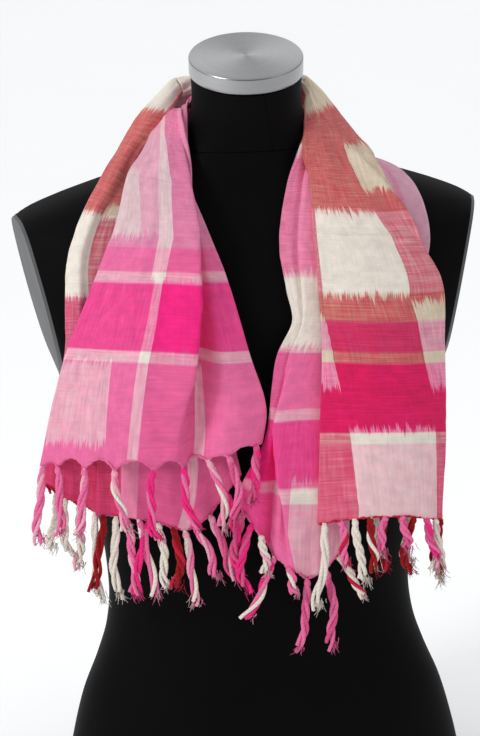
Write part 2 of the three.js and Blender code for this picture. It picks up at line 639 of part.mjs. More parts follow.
const ringHeights = [0, 45, 90, 130, 165, 205, 250, 295, 340, 385, 420, 450, 480, 510, 540, 562, 580, 592,
  603, 612, 621, 630, 640, 652, 667, 685, FORM_TOP];
const wholeForm = formBody(ringHeights);
const leftCut = armSlab(-1, 0, 120);
const rightCut = armSlab(1, 0, 120);
const torso = wholeForm.subtract(leftCut).subtract(rightCut);
const leftPlate = wholeForm.intersect(armSlab(-1, SEAM_GAP, ARM_PLATE.thickness));
const rightPlate = wholeForm.intersect(armSlab(1, SEAM_GAP, ARM_PLATE.thickness));

const scarfOnForm = new THREE.Group();
scarfOnForm.add(
  piece('form_torso', geometryOf(torso), 'jersey'),
  piece('form_plate_left', geometryOf(leftPlate), 'plate'),
  piece('form_plate_right', geometryOf(rightPlate), 'plate'),
  piece('neck_cap', capGeometry(), 'aluminium'),
  ...ribbonPieces(pinkCloth, {
    colour: 'pink',
    columns: 14,
    lies: false,
    left: { name: 'left_front', rows: 15, tassels: { forwards: 6, row: LEFT_FRONT_TASSELS } },
    neck: { name: 'neck_pink', rows: 13 },
    right: { name: 'right_inner', rows: 17, tassels: { forwards: 9, row: RIGHT_INNER_TASSELS } },
  }),
  ...ribbonPieces(redCloth, {
    colour: 'red',
    columns: 13,
    lies: false,
    left: { name: 'left_roll', rows: 16, tassels: { forwards: -3, row: LEFT_ROLL_TASSELS } },
    neck: { name: 'neck_red', rows: 10 },
    right: { name: 'right_front', rows: 16, tassels: { forwards: 5, row: RIGHT_FRONT_TASSELS } },
  }),
  ...ribbonPieces(paleCloth, {
    colour: 'pale',
    columns: 7,
    lies: true,
    left: { name: 'left_middle', rows: 15, tassels: { forwards: -1, row: LEFT_MIDDLE_TASSELS } },
    neck: { name: 'neck_pale', rows: 12 },
    right: { name: 'right_back', rows: 15, tassels: { forwards: 0, row: RIGHT_BACK_TASSELS } },
  }),
);

export default scarfOnForm;
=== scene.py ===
"""A square plaid scarf with knotted tassels, hung round the neck of a black dress form with a metal neck cap.

The tables are in millimetres, +Z up, with the front towards -Y. Meshes are made in metres.
Left and right are as seen from the front.
"""

import math

import bpy
import numpy as np
from bpy.props import FloatProperty, FloatVectorProperty, IntProperty, PointerProperty
from mathutils import Matrix, Vector


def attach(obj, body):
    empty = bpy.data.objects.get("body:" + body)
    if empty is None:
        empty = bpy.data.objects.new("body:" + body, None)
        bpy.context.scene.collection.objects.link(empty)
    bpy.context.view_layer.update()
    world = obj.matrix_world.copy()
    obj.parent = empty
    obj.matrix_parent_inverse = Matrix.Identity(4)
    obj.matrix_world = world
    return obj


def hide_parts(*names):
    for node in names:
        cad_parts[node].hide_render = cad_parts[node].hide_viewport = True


bl_info = {
    "name": "Fringed scarf on a dress form",
    "version": (1, 0, 0),
    "blender": (4, 5, 0),
    "location": "3D View > Sidebar > Scarf",
    "description": "Makes a fringed plaid scarf hung round the neck of a dress form",
    "category": "Add Mesh",
}

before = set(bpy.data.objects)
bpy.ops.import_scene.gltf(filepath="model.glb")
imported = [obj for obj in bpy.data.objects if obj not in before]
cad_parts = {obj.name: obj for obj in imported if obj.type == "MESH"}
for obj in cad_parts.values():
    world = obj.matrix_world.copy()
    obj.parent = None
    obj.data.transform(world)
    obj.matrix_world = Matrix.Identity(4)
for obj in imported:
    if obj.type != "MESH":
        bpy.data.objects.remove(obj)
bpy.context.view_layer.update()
MM = 0.001
AXES = np.eye(3)


def unit(vectors):
    return vectors / np.maximum(np.linalg.norm(vectors, axis=-1, keepdims=True), 1e-9)


def travelled(steps):
    """How far the way has come at each point, from the steps between them."""
    return np.concatenate([[0], np.cumsum(steps)])


def at_heights(rows, height):
    """The columns after the first of a table of heights, read at each of the heights given."""
    rows = np.array(rows)
    return [np.interp(height, rows[:, 0], column) for column in rows[:, 1:].T]


def table(columns, *rows):
    """A dict for each row, with the columns' names. A value left out at a row's end keeps its default."""
    return [dict(zip(columns.split(), row)) for row in rows]


# The form: a level section a row, with its height, half width, front, back, corner exponent, the sideways
# offset of its centre, and how much the section tips up towards the back.
FORM = np.array([
    (0, 204, -112, 118, 2.3, 0, 0),
    (45, 195, -111, 116, 2.3, 0, 0),
    (90, 183, -107, 109, 2.3, 0, 0),
    (130, 167, -102, 99, 2.3, 0, 0),
    (165, 156, -98, 90, 2.3, 0, 0),
    (205, 152, -96, 86, 2.3, 0, 0),
    (270, 158, -97, 89, 2.4, 0, 0),
    (340, 173, -102, 98, 2.5, 0, 0),
    (400, 188, -107, 107, 2.7, 0, 0),
    (435, 195, -109, 111, 2.9, 0, 0),
    (470, 214, -109, 113, 3, 0, 0),
    (510, 232, -105, 112, 3, 0, 0),
    (550, 240, -97, 106, 3, 0, 0),
    (574, 238, -90, 99, 2.9, 0, 0),
    (590, 219, -84, 91, 2.7, 0, 0),
    (603, 190, -79, 82, 2.5, 0, 0),
    (615, 156, -75, 72, 2.4, 0, 0),
    (628, 118, -72, 59, 2.3, 1, 0),
    (641, 88, -72, 46, 2.2, 1, 0),
    (655, 69, -76, 36, 2.1, 2, 0.03),
    (672, 58, -81, 27, 2, 2, 0.1),
    (695, 53.5, -88, 19, 2, 2, 0.2),
    (723.5, 53.5, -94, 14, 2, 2, 0.325),
])
# The plane that cuts the arms off, and the plates on it, from their bottom up. The cut starts at lowest.
ARM_PLATE = {"x": 208.5, "z": 510, "lean": 11.7, "turn": 7.5, "thickness": 3, "gap": 0.3, "lowest": 320,
             "bottom": 430}
CAP = {"radius": 55.2, "height": 17, "round": 2.5, "tilt": 18, "x": 2, "y": -40, "z": 723.85}
NECK_AXIS = (2, -36)
NECK_SEAM = 650
BACK_TURNS = (122, 90, 58)

# The folded scarf goes round the neck as three ribbons, from the left hem to the right hem. A row is a
# section across a ribbon.
PINK_LEFT = table(
    "outer crest inner crown trough ridge sag",
    ((-213, -122, 364), (-84, -144, 358), (-2, -134, 378), 9, 7, 8),
    ((-199, -123, 422), (-78, -147, 418), (2, -132, 415), 6, 17, 6),
    ((-181, -119, 478), (-72, -144, 474), (-12, -127, 468), 5, 19, 3),
    ((-153, -109, 540), (-67, -127, 538), (-29, -117, 535), 4, 12, -1),
    ((-130, -96, 592), (-62, -107, 587), (-46, -99, 584), 4, 6, -1),
    ((-116, -65, 633), (-58, -87, 624), (-58, -78, 622), 4, 4, 0),
    ((-101, -44, 650), (-58, -72, 647), (-58, -62, 646), 7, 3, 0),
    ((-86, -8, 670), (-61, -54, 673), (-57, -45, 675), 5, 3, 0),
    ((-72, 12, 682), (-60, -22, 688), (-53, -12, 695), 3, 2, 0),
)
PINK_RIGHT = table(
    "outer crest inner crown trough ridge sag",
    ((71, 12, 667), (65, -12, 677), (59, -8, 684), 3, 2, 0),
    ((82, -5, 662), (70, -38, 663), (64, -42, 668), 4, 2, 0),
    ((88, -18, 655), (62, -63, 652), (51, -73, 652), 6, 2, 0),
    ((88, -79, 611), (52, -84, 614), (35, -82, 614), 2, 3, 0),
    ((90, -101, 561), (45, -105, 564), (25, -102, 564), 1, 3, 1),
    ((90, -111, 517), (46, -115, 520), (30, -113, 520), 1, 3, 1),
    ((88, -117, 489), (44, -121, 492), (34, -120, 493), 1, 2, 0),
    ((86, -121, 457), (30, -128, 461), (18, -127, 462), 1, 2, 0),
    ((85, -125, 409), (18, -133, 413), (9, -129, 414), 1, 2, 0),
    ((84, -127, 373), (15, -137, 378), (2, -128, 378), 1, 6, 0),
    ((82, -127, 325), (15, -138, 324), (-22, -126, 333), 1, 12, 3, 10),
    ((78, -127, 270), (8, -135, 262), (-23, -127, 312), 2, 10, 2, 27),
)
RED_LEFT = table(
    "inner bend side swell turned",
    ((-160, -117, 311), (-183, -114, 322), (-212, -108, 338), 3, (6, 8, -8)),
    ((-144, -117, 409), (-178, -113, 413), (-198, -106, 414), 4, (14, 9, -5)),
    ((-133, -112, 472), (-163, -109, 472), (-184, -100, 472), 6, (16, 12, -7)),
    ((-132, -101, 517), (-159, -101, 517), (-182, -96, 518), 7, (15, 13, -8)),
    ((-125, -91, 554), (-157, -92, 555), (-178, -88, 556), 8, (13, 13, -8)),
    ((-117, -77, 590), (-144, -80, 593), (-162, -76, 597), 8, (9, 4, -3)),
    ((-107, -56, 619), (-121, -56, 623), (-140, -48, 631), 8, (10, 13, -6)),
    ((-104, -28, 642), (-108, -28, 646), (-123, -12, 650), 8, (8, 18, -17)),
    ((-76, -10, 674), (-79, -8, 678), (-102, 6, 679), 8, (1, 20, -33)),
    ((-66, 6, 688), (-65, 8, 692), (-79, 18, 700), 7, (-3, 22, -35)),
    ((-59, 22, 694), (-57, 21, 699), (-63, 30, 711), 6, (-8, 22, -36)),
)
RED_RIGHT = table(
    "inner side crown rise turned",
    ((61, 18, 695), (67, 31, 706), 6, 5, (8, 22, -34)),
    ((59, -28, 687), (88, 17, 685), 8, 3, (8, 20, -26)),
    ((57, -57, 669), (103, 2, 664), 10, 2, (8, 16, -20)),
    ((54, -77, 653), (118, -28, 641), 12, 2, (5, 2, -2)),
    ((57, -91, 620), (134, -74, 612), 12, 0, (-4, -1, -2)),
    ((57, -111, 574), (155, -99, 566), 9, 0, (-8, 2, -2)),
    ((59, -124, 529), (178, -101, 521), 13, 1, (-12, 6, -3)),
    ((60, -136, 473), (178, -110, 461), 15, 1, (-14, 7, -4)),
    ((56, -140, 395), (177, -117, 384), 15, 3, (-14, 7, -4)),
    ((50, -141, 296), (171, -121, 288), 13, 8, (-15, 8, -2)),
)
PALE_LEFT = table(
    "outer inner crown sag",
    ((-162, -123, 312), (-23, -124, 344), 6, (17, 38)),
    ((-154, -122, 406), (-35, -122, 402), 5),
    ((-140, -117, 473), (-54, -116, 468), 5),
    ((-120, -103, 536), (-65, -106, 535), 3),
    ((-106, -84, 586), (-67, -88, 585), 1),
    ((-95, -44, 632), (-64, -61, 640), 1),
    ((-84, -4, 646), (-62, -32, 658), 0),
    ((-76, 38, 638), (-60, 4, 660), 0),
)
PALE_RIGHT = table(
    "outer inner crown sag",
    ((82, 38, 636), (66, 4, 656), 0),
    ((106, 20, 632), (84, -20, 645), 0),
    ((137, 3, 624), (100, -30, 636), 0),
    ((157, -38, 612), (115, -58, 617), 0),
    ((169, -77, 582), (123, -84, 584), 0),
    ((169, -88, 552), (126, -95, 551), 0),
    ((151, -98, 495), (116, -106, 497), 2),
    ((153, -106, 406), (106, -116, 413), 3),
    ((153, -108, 300), (97, -120, 306), 3),
)

# Behind the neck: a row is a line along the ribbon, with its distance from the neck's axis, its height, and
# how far it dips in the middle.
PINK_BACK = [(80, 664, 4), (71, 674, 3), (67, 682, 2), (62, 690, 0), (62, 697, 0), (55, 703, 0)]
RED_BACK = [(71, 699, 0), (70, 706, 0), (77, 713, 0), (88, 706, 2), (92, 684, 6), (110, 658, 20)]
PALE_BACK = [(116, 618, 9), (97, 636, 5), (80, 652, 2), (67, 663, 0)]

# Yarn colours, as 0 to 255 display values
YARNS = {
    "cream": (232, 222, 210),
    "beige": (206, 180, 144),
    "pale": (236, 164, 184),
    "lilac": (212, 160, 180),
    "pink": (234, 110, 160),
    "rose": (216, 82, 134),
    "magenta": (238, 42, 126),
    "red": (196, 26, 62),
    "coral": (214, 78, 88),
    "crimson": (150, 8, 22),
}
BACKDROP = (0.97, 0.985, 1.0, 1)

RAMP_SPAN = 480  # height of cloth that a colour ramp covers
WARP_BLEND, WEFT_BLEND = 1.5, 0.5  # half of the height over which a yarn's colour changes
HANGING_LIFT, LYING_LIFT = 0.95, 2.3  # least gap between the form and the inside of the cloth
EDGE_RADIUS, EDGE_LIFT = 1.3, 0.8  # of folded edges: their bend, and their height off the form
HEM_WAVE, HEM_REACH, HEM_RISE = 1.5, 16, 10  # loose ripple of the hem, how far up it fades, highest scallop
CORD_RADIUS, CORD_LIFT = 1.25, 2.6
KNOT_RADIUS, KNOT_SWELL = 1.9, 1.5
TASSEL_WAVE, FIBRE_RADIUS = 2.8, 0.5
FLOOR_REACH, FLOOR_DROP = 30000, 0.2


def knot_weights(knots, t):
    """The cubic through values at uneven knots, each knot's slope taken from its two neighbours, as four
    (index, weight) pairs for every t."""
    t = np.clip(t, knots[0], knots[-1])
    i = np.clip(np.searchsorted(knots, t) - 1, 0, len(knots) - 2)
    before = np.maximum(i - 1, 0)
    after = np.minimum(i + 2, len(knots) - 1)
    step = knots[i + 1] - knots[i]
    s = (t - knots[i]) / step
    slope_here = step / (knots[i + 1] - knots[before])
    slope_next = step / (knots[after] - knots[i])
    start = 2 * s**3 - 3 * s**2 + 1
    leave = s**3 - 2 * s**2 + s
    arrive = s**3 - s**2
    return (
        (before, -leave * slope_here),
        (i, start - arrive * slope_next),
        (i + 1, 1 - start + leave * slope_here),
        (after, arrive * slope_next),
    )


def form_section(z):
    """The form's columns at the heights z: half width, depth, centre x, centre y, corner exponent and tip."""
    rows = sum(FORM[k] * w[..., None] for k, w in knot_weights(FORM[:, 0], np.asarray(z, float)))
    half, front, back, corner, x, tip = np.moveaxis(rows[..., 1:], -1, 0)
    return half, (back - front) / 2, x, (front + back) / 2, corner, tip


def form_level(points):
    """Below zero inside the form and above it outside: the superellipse of the section through each point."""
    x, y, z = np.moveaxis(points, -1, 0)
    _, _, _, centre_y, _, tip = form_section(z)
    half, depth, centre_x, centre_y, corner, _ = form_section(z - tip * (y - centre_y))
    across = np.abs(x - centre_x) / half
    along = np.abs(y - centre_y) / depth
    return (across**corner + along**corner) ** (1 / corner) - 1


def clear_of_form(points, lift, pull=0.0):
    """Each point moved along the form's steepest direction until it is lift away. pull draws in those that
    are further away."""
    moved = points.copy()
    for _ in range(4):
        level = form_level(moved)
        slope = np.stack([(form_level(moved + 0.5 * axis) - level) / 0.5 for axis in AXES], axis=-1)
        steepness = np.linalg.norm(slope, axis=-1)
        short = lift - level / steepness
        move = np.where(short > 0, short, short * pull) / steepness
        moved = moved + slope * np.where(level > 0.4, 0, move)[..., None]
    return moved


def mix(a, b, t):
    return np.array(a, float) * (1 - t) + np.array(b, float) * t


def folded_section(outer, crest, inner, crown, trough, ridge, sag=0):
    """A broad part from the outer edge to a crest, then a trough and a narrow part to the inner edge."""
    return np.array([
        outer, mix(outer, crest, 0.5) + (0, -crown, -sag), crest, mix(crest, inner, 0.2) + (0, trough, 0),
        mix(crest, inner, 0.55) + (0, -ridge, 0), inner,
    ], float)


def turned_under(side, turned, lean):
    """The two points that carry a side edge on round and under."""
    return mix(side, np.add(side, turned), 0.45) + (lean, 1, 0), np.add(side, turned)


def rolled_section(inner, bend, side, swell, turned):
    """A flat inner part, then a roll from a bend over a swell to its side and back under."""
    swollen = mix(bend, side, 0.5) + (0, -swell, swell / 3)
    return np.array([inner, bend, swollen, side, *turned_under(side, turned, 2 * np.sign(-turned[0]))], float)


def crowned_section(inner, side, crown, rise, turned):
    """A broad crowned part, turned under along its outer side."""
    third, two_thirds = (mix(inner, side, t) + (0, -crown, rise) for t in (0.34, 0.68))
    return np.array([inner, third, two_thirds, side, *turned_under(side, turned, 1)], float)


def plain_section(outer, inner, crown, sag=(0, 0)):
    """A plain crowned strip, which sags at each third."""
    third, two_thirds = (mix(outer, inner, (i + 1) / 3) + (0, -crown, -sag[i]) for i in (0, 1))
    return np.array([outer, third, two_thirds, inner], float)


def back_sections(lines):
    """The sections behind the neck: every line is at its radius from the neck's axis at each turn."""
    radius, z, dip = np.array(lines, float).T
    sections = []
    for turn in np.radians(BACK_TURNS):
        low = dip if turn == np.radians(BACK_TURNS[1]) else 0
        x, y = (middle + radius * way(turn) for middle, way in zip(NECK_AXIS, (math.cos, math.sin)))
        sections.append(np.stack([x, y, z - low], axis=-1))
    return sections


class Ribbon:
    """A surface of two parameters, u across and v along from the left hem, splined through its sections.
    The knots are the mean distances between the points. folds has each folded edge, 0 or 1, with how far it
    goes on down behind the cloth, and lies is true where the ribbon lies on the form."""

    def __init__(self, name, left, back, right, folds=((0, 0), (1, 0)), lies=False):
        self.name, self.folds, self.lies = name, folds, lies
        self.sections = np.array([*left, *back, *right])
        across = np.linalg.norm(np.diff(self.sections, axis=1), axis=2)
        along = np.linalg.norm(np.diff(self.sections, axis=0), axis=2).mean(axis=1)
        self.length = along.sum()
        widths = across.sum(axis=1)
        self.widths = widths[:4].mean(), widths[len(left):len(left) + 3].mean(), widths[-4:].mean()
        self.across = self.knots(across.mean(axis=0))
        self.along = self.knots(along)
        self.joints = self.along[len(left) - 1], self.along[len(left) + len(back)]

    @staticmethod
    def knots(distances):
        places = travelled(distances)
        return places / places[-1]

    def at(self, u, v):
        """Points for the columns u, shape (m,), at the places v, shape (n, m)."""
        lines = sum(self.sections[:, k] * w[:, None] for k, w in knot_weights(self.across, u))
        columns = np.arange(len(u))
        return sum(lines[k, columns] * w[..., None] for k, w in knot_weights(self.along, v))


PINK = Ribbon("pink", [folded_section(**row) for row in PINK_LEFT], back_sections(PINK_BACK),
              [folded_section(**row) for row in PINK_RIGHT])
RED = Ribbon("red", [rolled_section(**row) for row in RED_LEFT], back_sections(RED_BACK),
             [crowned_section(**row) for row in RED_RIGHT], folds=((0, 9),))
PALE = Ribbon("pale", [plain_section(**row) for row in PALE_LEFT], back_sections(PALE_BACK),
              [plain_section(**row) for row in PALE_RIGHT], lies=True)

# The stretches of cloth that show. Heights are above the stretch's hem, in millimetres, and places across are
# shares of its width.
# side      -1 left, 0 behind the neck, 1 right
# flat      the size of the stretch when laid flat
# crinkle   depth of the small creases; gather, of folds along the cloth; grain, how uneven the yarns are
# creases   heights of lines where the cloth was folded away
# weft      bands: a yarn, then for each change its height and the yarn above it
# warp      columns, each from a place across, with the changes along it
# threads   places in the cloth of some threads, and where they run in the drape, after each height
# valleys   pressed folds, with the way that the crest beside each leans, and rows of height, place across,
#           depth and lean
# tassels   place along the hem, how far the tip hangs to the right of the root, how far the middle does
#           beyond that, the drop, and the yarns of the three plies, over again where fewer are given. They
#           hang forwards of the hem, which rises between two by scallop times their distance and has a cord.
STRETCHES = [
    dict(name="left_front", ribbon=PINK, side=-1, flat=(190, 345), crinkle=0.8, gather=1.0, grain=0.7,
         creases=(277,),
         weft="pink 98 cream 110 magenta 176 cream 187 pink 210 lilac 330 pale",
         warp={0: "pink 22 cream 98 pink 220 cream 284 pale", 0.289: "pink 222 pale", 0.398: "pink 181 cream",
               0.42: "cream", 0.474: "rose 110 magenta 181 cream", 0.494: "rose 110 magenta 178 rose",
               0.76: "cream 92 rose", 0.8: "pink"},
         threads=dict(cloth=(0.289, 0.447, 0.78), rows=[
             (0, 0.32, 0.445, 0.775), (25, 0.31, 0.445, 0.777), (97, 0.274, 0.445, 0.76),
             (135, 0.269, 0.466, 0.71), (181, 0.267, 0.478, 0.66), (220, 0.256, 0.487, 0.64),
             (277, 0.125, 0.44, 0.6), (320, 0.04, 0.3, 0.55), (364, 0.01, 0.08, 0.5)]),
         valleys=[dict(width=0.04, towards=(1.3, -0.9, 0), rows=[
             (0, 0.7, 0, 0), (35, 0.69, 2, 4), (85, 0.68, 6, 14), (160, 0.66, 7, 18), (230, 0.63, 6, 15),
             (275, 0.61, 3, 8), (330, 0.6, 0, 0)])],
         forwards=6, scallop=0.34, cord="pink", tassels=[
             (0.01, -9, -2, 78, "pink pale"), (0.08, -3, 3, 68, "pink"), (0.22, -11, 3, 66, "pink pink pale"),
             (0.37, 11, -3, 62, "pale pink cream"), (0.55, 2, -6, 68, "magenta pink"),
             (0.7, 9, -3, 62, "magenta pink"), (0.81, 11, 8, 72, "pale cream pink"),
             (0.88, 3, 6, 66, "pink rose"), (0.98, -10, 3, 58, "rose magenta pink")]),
    dict(name="neck_pink", ribbon=PINK, side=0, flat=(55, 165), crinkle=0.5, gather=1.2, grain=0.7,
         weft="lilac 120 rose",
         warp={0: "pink 60 cream 120 pink", 0.44: "cream", 0.54: "rose"}),
    dict(name="right_inner", ribbon=PINK, side=1, flat=(85, 440), crinkle=0.8, gather=0.8, grain=0.7,
         weft="pink 52 cream 64 magenta 126 cream 138 pink 192 cream 266 pale",
         warp={0: "cream 70 pink 198 cream 270 pink 392 cream", 0.49: "pink 198 cream 270 pink 392 cream",
               0.74: "magenta 110 rose 198 cream 270 rose 392 cream"},
         valleys=[dict(width=0.06, towards=(-1, -0.4, 0), rows=[
             (0, 0.58, 0, 0), (30, 0.6, 5, 12), (70, 0.64, 6, 17), (120, 0.68, 5, 15), (190, 0.7, 0, 0)])],
         forwards=9, scallop=0.12, cord="pink", tassels=[
             (0.1, 22, 3, 42, "cream cream red"), (0.22, 1, 5, 80, "pink rose"),
             (0.4, -14, 4, 72, "pink pink rose"), (0.56, 4, 2, 26, "pink cream"),
             (0.68, -30, 2, 58, "pink cream magenta"), (0.84, 2, 2, 38, "cream pale"),
             (0.91, -8, -8, 66, "magenta rose"), (0.98, -9, -5, 62, "rose magenta")]),
    dict(name="left_roll", ribbon=RED, side=-1, flat=(85, 440), crinkle=0.7, gather=0.8, grain=0.85,
         weft="pink 70 coral 130 lilac 196 cream 280 beige 411 cream",
         warp={0: "red 276 cream 292 red", 0.26: "red 60 cream 110 red 196 cream 280 red 411 cream"},
         forwards=-3, scallop=0.2, cord="red", tassels=[
             (0.04, 3, -3, 96, "cream"), (0.2, -6, 3, 66, "cream cream pale"), (0.36, 4, -5, 60, "cream"),
             (0.5, -10, 2, 58, "cream")]),
    dict(name="neck_red", ribbon=RED, side=0, flat=(85, 170), crinkle=0.8, gather=2.6, grain=0.85,
         weft="cream 40 beige 110 cream",
         warp={0: "cream 46 red 108 cream", 0.5: "cream 22 red 86 cream 112 red 134 cream"},
         valleys=[
             dict(width=0.05, towards=(0, 0.5, -0.8), rows=[
                 (8, 0.4, 0, 0), (35, 0.4, 4, 4), (85, 0.42, 7, 7), (120, 0.4, 4, 4), (145, 0.4, 0, 0)]),
             dict(width=0.06, towards=(0, 0.5, -0.8), rows=[
                 (8, 0.6, 0, 0), (35, 0.6, 4, 5), (85, 0.62, 8, 9), (120, 0.58, 4, 5), (145, 0.6, 0, 0)]),
             dict(width=0.05, towards=(0, 0.4, -0.8), rows=[
                 (8, 0.8, 0, 0), (35, 0.8, 3, 3), (85, 0.84, 7, 8), (120, 0.8, 3, 4), (145, 0.8, 0, 0)])]),
    dict(name="right_front", ribbon=RED, side=1, flat=(140, 430), crinkle=0.8, gather=1.0, grain=0.75,
         creases=(283,),
         weft="pale 76 cream 87 magenta 155 beige 166 rose 195 beige 223 cream 306 beige",
         warp={0: "red 130 cream 198 red", 0.125: "cream 91 red 220 cream 306 red 438 cream",
               0.61: "red 130 cream 214 red 329 cream 390 red 442 cream"},
         threads=dict(cloth=(0.125, 0.61), rows=[
             (11, 0.222, 0.66), (88, 0.156, 0.62), (128, 0.1, 0.59), (153, 0.06, 0.556), (195, 0.012, 0.512),
             (218, 0.008, 0.47), (282, 0.006, 0.5), (308, 0.005, 0.44), (331, 0.004, 0.41), (396, 0.003, 0.36),
             (440, 0.002, 0.35)]),
         valleys=[dict(width=0.06, towards=(1, -0.6, 0), rows=[
             (255, 0.95, 0, 0), (290, 0.84, 3, 5), (345, 0.64, 4, 8), (400, 0.47, 3, 6), (440, 0.38, 0, 0)])],
         forwards=5, scallop=0.12, cord="red", tassels=[
             (0.03, -11, 3, 86, "cream"), (0.12, 1, 3, 46, "pink pink red"), (0.2, 8, -1, 66, "cream"),
             (0.28, 1, 1, 54, "crimson crimson cream"), (0.36, -6, -3, 36, "pink rose"),
             (0.44, 3, 2, 32, "pink rose"), (0.52, -7, -7, 56, "crimson"),
             (0.585, 8, 0, 42, "rose magenta pink"), (0.65, -4, 3, 54, "cream pale"),
             (0.73, -4, -5, 56, "crimson"), (0.8, 0, 2, 66, "cream")]),
    dict(name="left_middle", ribbon=PALE, side=-1, flat=(110, 400), crinkle=0.6, gather=0.6, grain=0.7,
         weft="pink 110 rose 190 lilac",
         warp={0: "red", 0.17: "pale", 0.29: "rose", 0.61: "cream", 0.69: "rose"},
         threads=dict(cloth=(0.17, 0.65), rows=[
             (0, 0.17, 0.585), (24, 0.167, 0.656), (47, 0.165, 0.7), (90, 0.16, 0.72)]),
         forwards=-1, scallop=0.2, cord="rose", tassels=[
             (0.04, -16, 3, 76, "crimson"), (0.13, -2, -2, 84, "cream"), (0.2, 3, 4, 78, "pink pale"),
             (0.29, 12, 2, 84, "pink cream"), (0.36, -17, -2, 80, "magenta magenta pink"),
             (0.42, 5, 2, 68, "cream"), (0.52, -1, 6, 62, "crimson crimson red"),
             (0.6, 4, 4, 80, "pale pink cream"), (0.67, 18, 5, 54, "pink pale"),
             (0.78, 24, 0, 70, "pale pink rose"), (0.9, 6, 4, 62, "magenta rose")]),
    dict(name="neck_pale", ribbon=PALE, side=0, flat=(60, 180), crinkle=0.6, gather=2.0, grain=0.6,
         weft="lilac",
         warp={0: "pale", 0.5: "cream", 0.6: "pink"},
         valleys=[dict(width=0.1, towards=(0, 0.5, -0.5), rows=[
             (8, 0.5, 0, 0), (40, 0.45, 1, 3), (90, 0.5, 1, 5), (120, 0.55, 1, 3), (145, 0.5, 0, 0)])]),
    dict(name="right_back", ribbon=PALE, side=1, flat=(60, 420), crinkle=0.6, gather=0.6, grain=0.6,
         creases=(255,),
         weft="lilac",
         warp={0: "lilac", 0.4: "pink", 0.5: "lilac"},
         forwards=0, scallop=0.1, cord="lilac", tassels=[
             (0.15, -3, -6, 62, "cream"), (0.4, 5, 3, 58, "cream pale"),
             (0.62, -4, -3, 66, "crimson crimson red"), (0.88, 6, 3, 54, "cream cream pale")]),
]


def width_of(stretch):
    return stretch["ribbon"].widths[stretch["side"] + 1]


def ripple(seed, u, v, size_u, size_v):
    """Smooth noise from -1 to 1: random values on a grid of cells size_u by size_v, blended by smoothstep."""
    grid = np.random.default_rng(seed).uniform(-1, 1, (64, 64))
    a, b = u / size_u, v / size_v
    i, j = np.floor(a).astype(int), np.floor(b).astype(int)
    s, t = a - i, b - j
    s, t = s * s * (3 - 2 * s), t * t * (3 - 2 * t)
    low = grid[i % 64, j % 64] * (1 - s) + grid[(i + 1) % 64, j % 64] * s
    high = grid[i % 64, (j + 1) % 64] * (1 - s) + grid[(i + 1) % 64, (j + 1) % 64] * s
    return low * (1 - t) + high * t


def hem_edge(stretch, u):
    """How far above the hem's line the cloth ends, in millimetres: nothing at a tassel, and between two of
    them a half sine as high as scallop times their distance. Nothing behind the neck."""
    if "tassels" not in stretch:
        return 0 * u
    at = np.array([0, *(row[0] for row in stretch["tassels"]), 1.0])
    i = np.clip(np.searchsorted(at, u) - 1, 0, len(at) - 2)
    gap = np.maximum(at[i + 1] - at[i], 1e-6)
    half_sine = np.sin(np.pi * np.clip((u - at[i]) / gap, 0, 1))
    return np.minimum(stretch["scallop"] * gap * width_of(stretch), HEM_RISE) * half_sine**0.8


def thread_place(stretch, u, height):
    """The place across the cloth of each point, as a share of its width: each thread of the table is where
    the table says at the point's height, and the cloth between two threads is spread evenly."""
    if "threads" not in stretch:
        return u
    runs = [0 * height, *at_heights(stretch["threads"]["rows"], height), 0 * height + 1]
    cloth = (0, *stretch["threads"]["cloth"], 1)
    return sum(
        (cloth[k + 1] - cloth[k]) * np.clip((u - runs[k]) / (runs[k + 1] - runs[k]), 0, 1)
        for k in range(len(cloth) - 1))


def surface_normals(points):
    """Unit normals of a grid of points, away from the neck's axis on the whole."""
    normal = unit(np.cross(np.gradient(points, axis=1), np.gradient(points, axis=0)))
    return normal * np.sign((normal[..., :2] * (points[..., :2] - NECK_AXIS)).sum())


def fold_back(points, normals, place, edge, tuck):
    """The columns that carry a folded edge on: half a circle, then straight back behind the cloth. Where tuck
    is given, they turn down by a quarter circle instead and go on down by tuck. Returns their points and their
    places in the cloth."""
    first, second, sign = (-1, -2, 1) if edge else (0, 1, -1)
    out, normal = unit(points[:, first] - points[:, second]), normals[:, first]
    columns, places = [], []
    for angle in np.radians(np.arange(1, 7) * (15 if tuck else 30)):
        columns.append(points[:, first] + EDGE_RADIUS * (out * math.sin(angle) - normal * (1 - math.cos(angle))))
        places.append(place[:, first] + sign * EDGE_RADIUS * angle * AXES[0, :2])
    for back in (0.4 * tuck, tuck) if tuck else (2.0, 5.0):
        columns.append(columns[5] + (-normal if tuck else -out) * back)
        places.append(places[5] + sign * back * AXES[0, :2])
    order = slice(None, None, None if edge else -1)
    return np.stack(columns[order], axis=1), np.stack(places[order], axis=1)


def press_valleys(stretch, points, normals, u, height):
    """Presses the stretch's valleys in and leans the crest beside each one over it: a bell curve across, at
    the place and of the depth that the table gives for each height above the hem."""
    for valley in stretch.get("valleys", ()):
        middle, depth, lean = at_heights(valley["rows"], height)
        off = (u - middle) / valley["width"]
        pressed, leant = depth * np.exp(-(off**2)), lean * np.exp(-((off + 1.7) ** 2))
        points = points - normals * pressed[..., None] + leant[..., None] * np.array(valley["towards"])
    return points


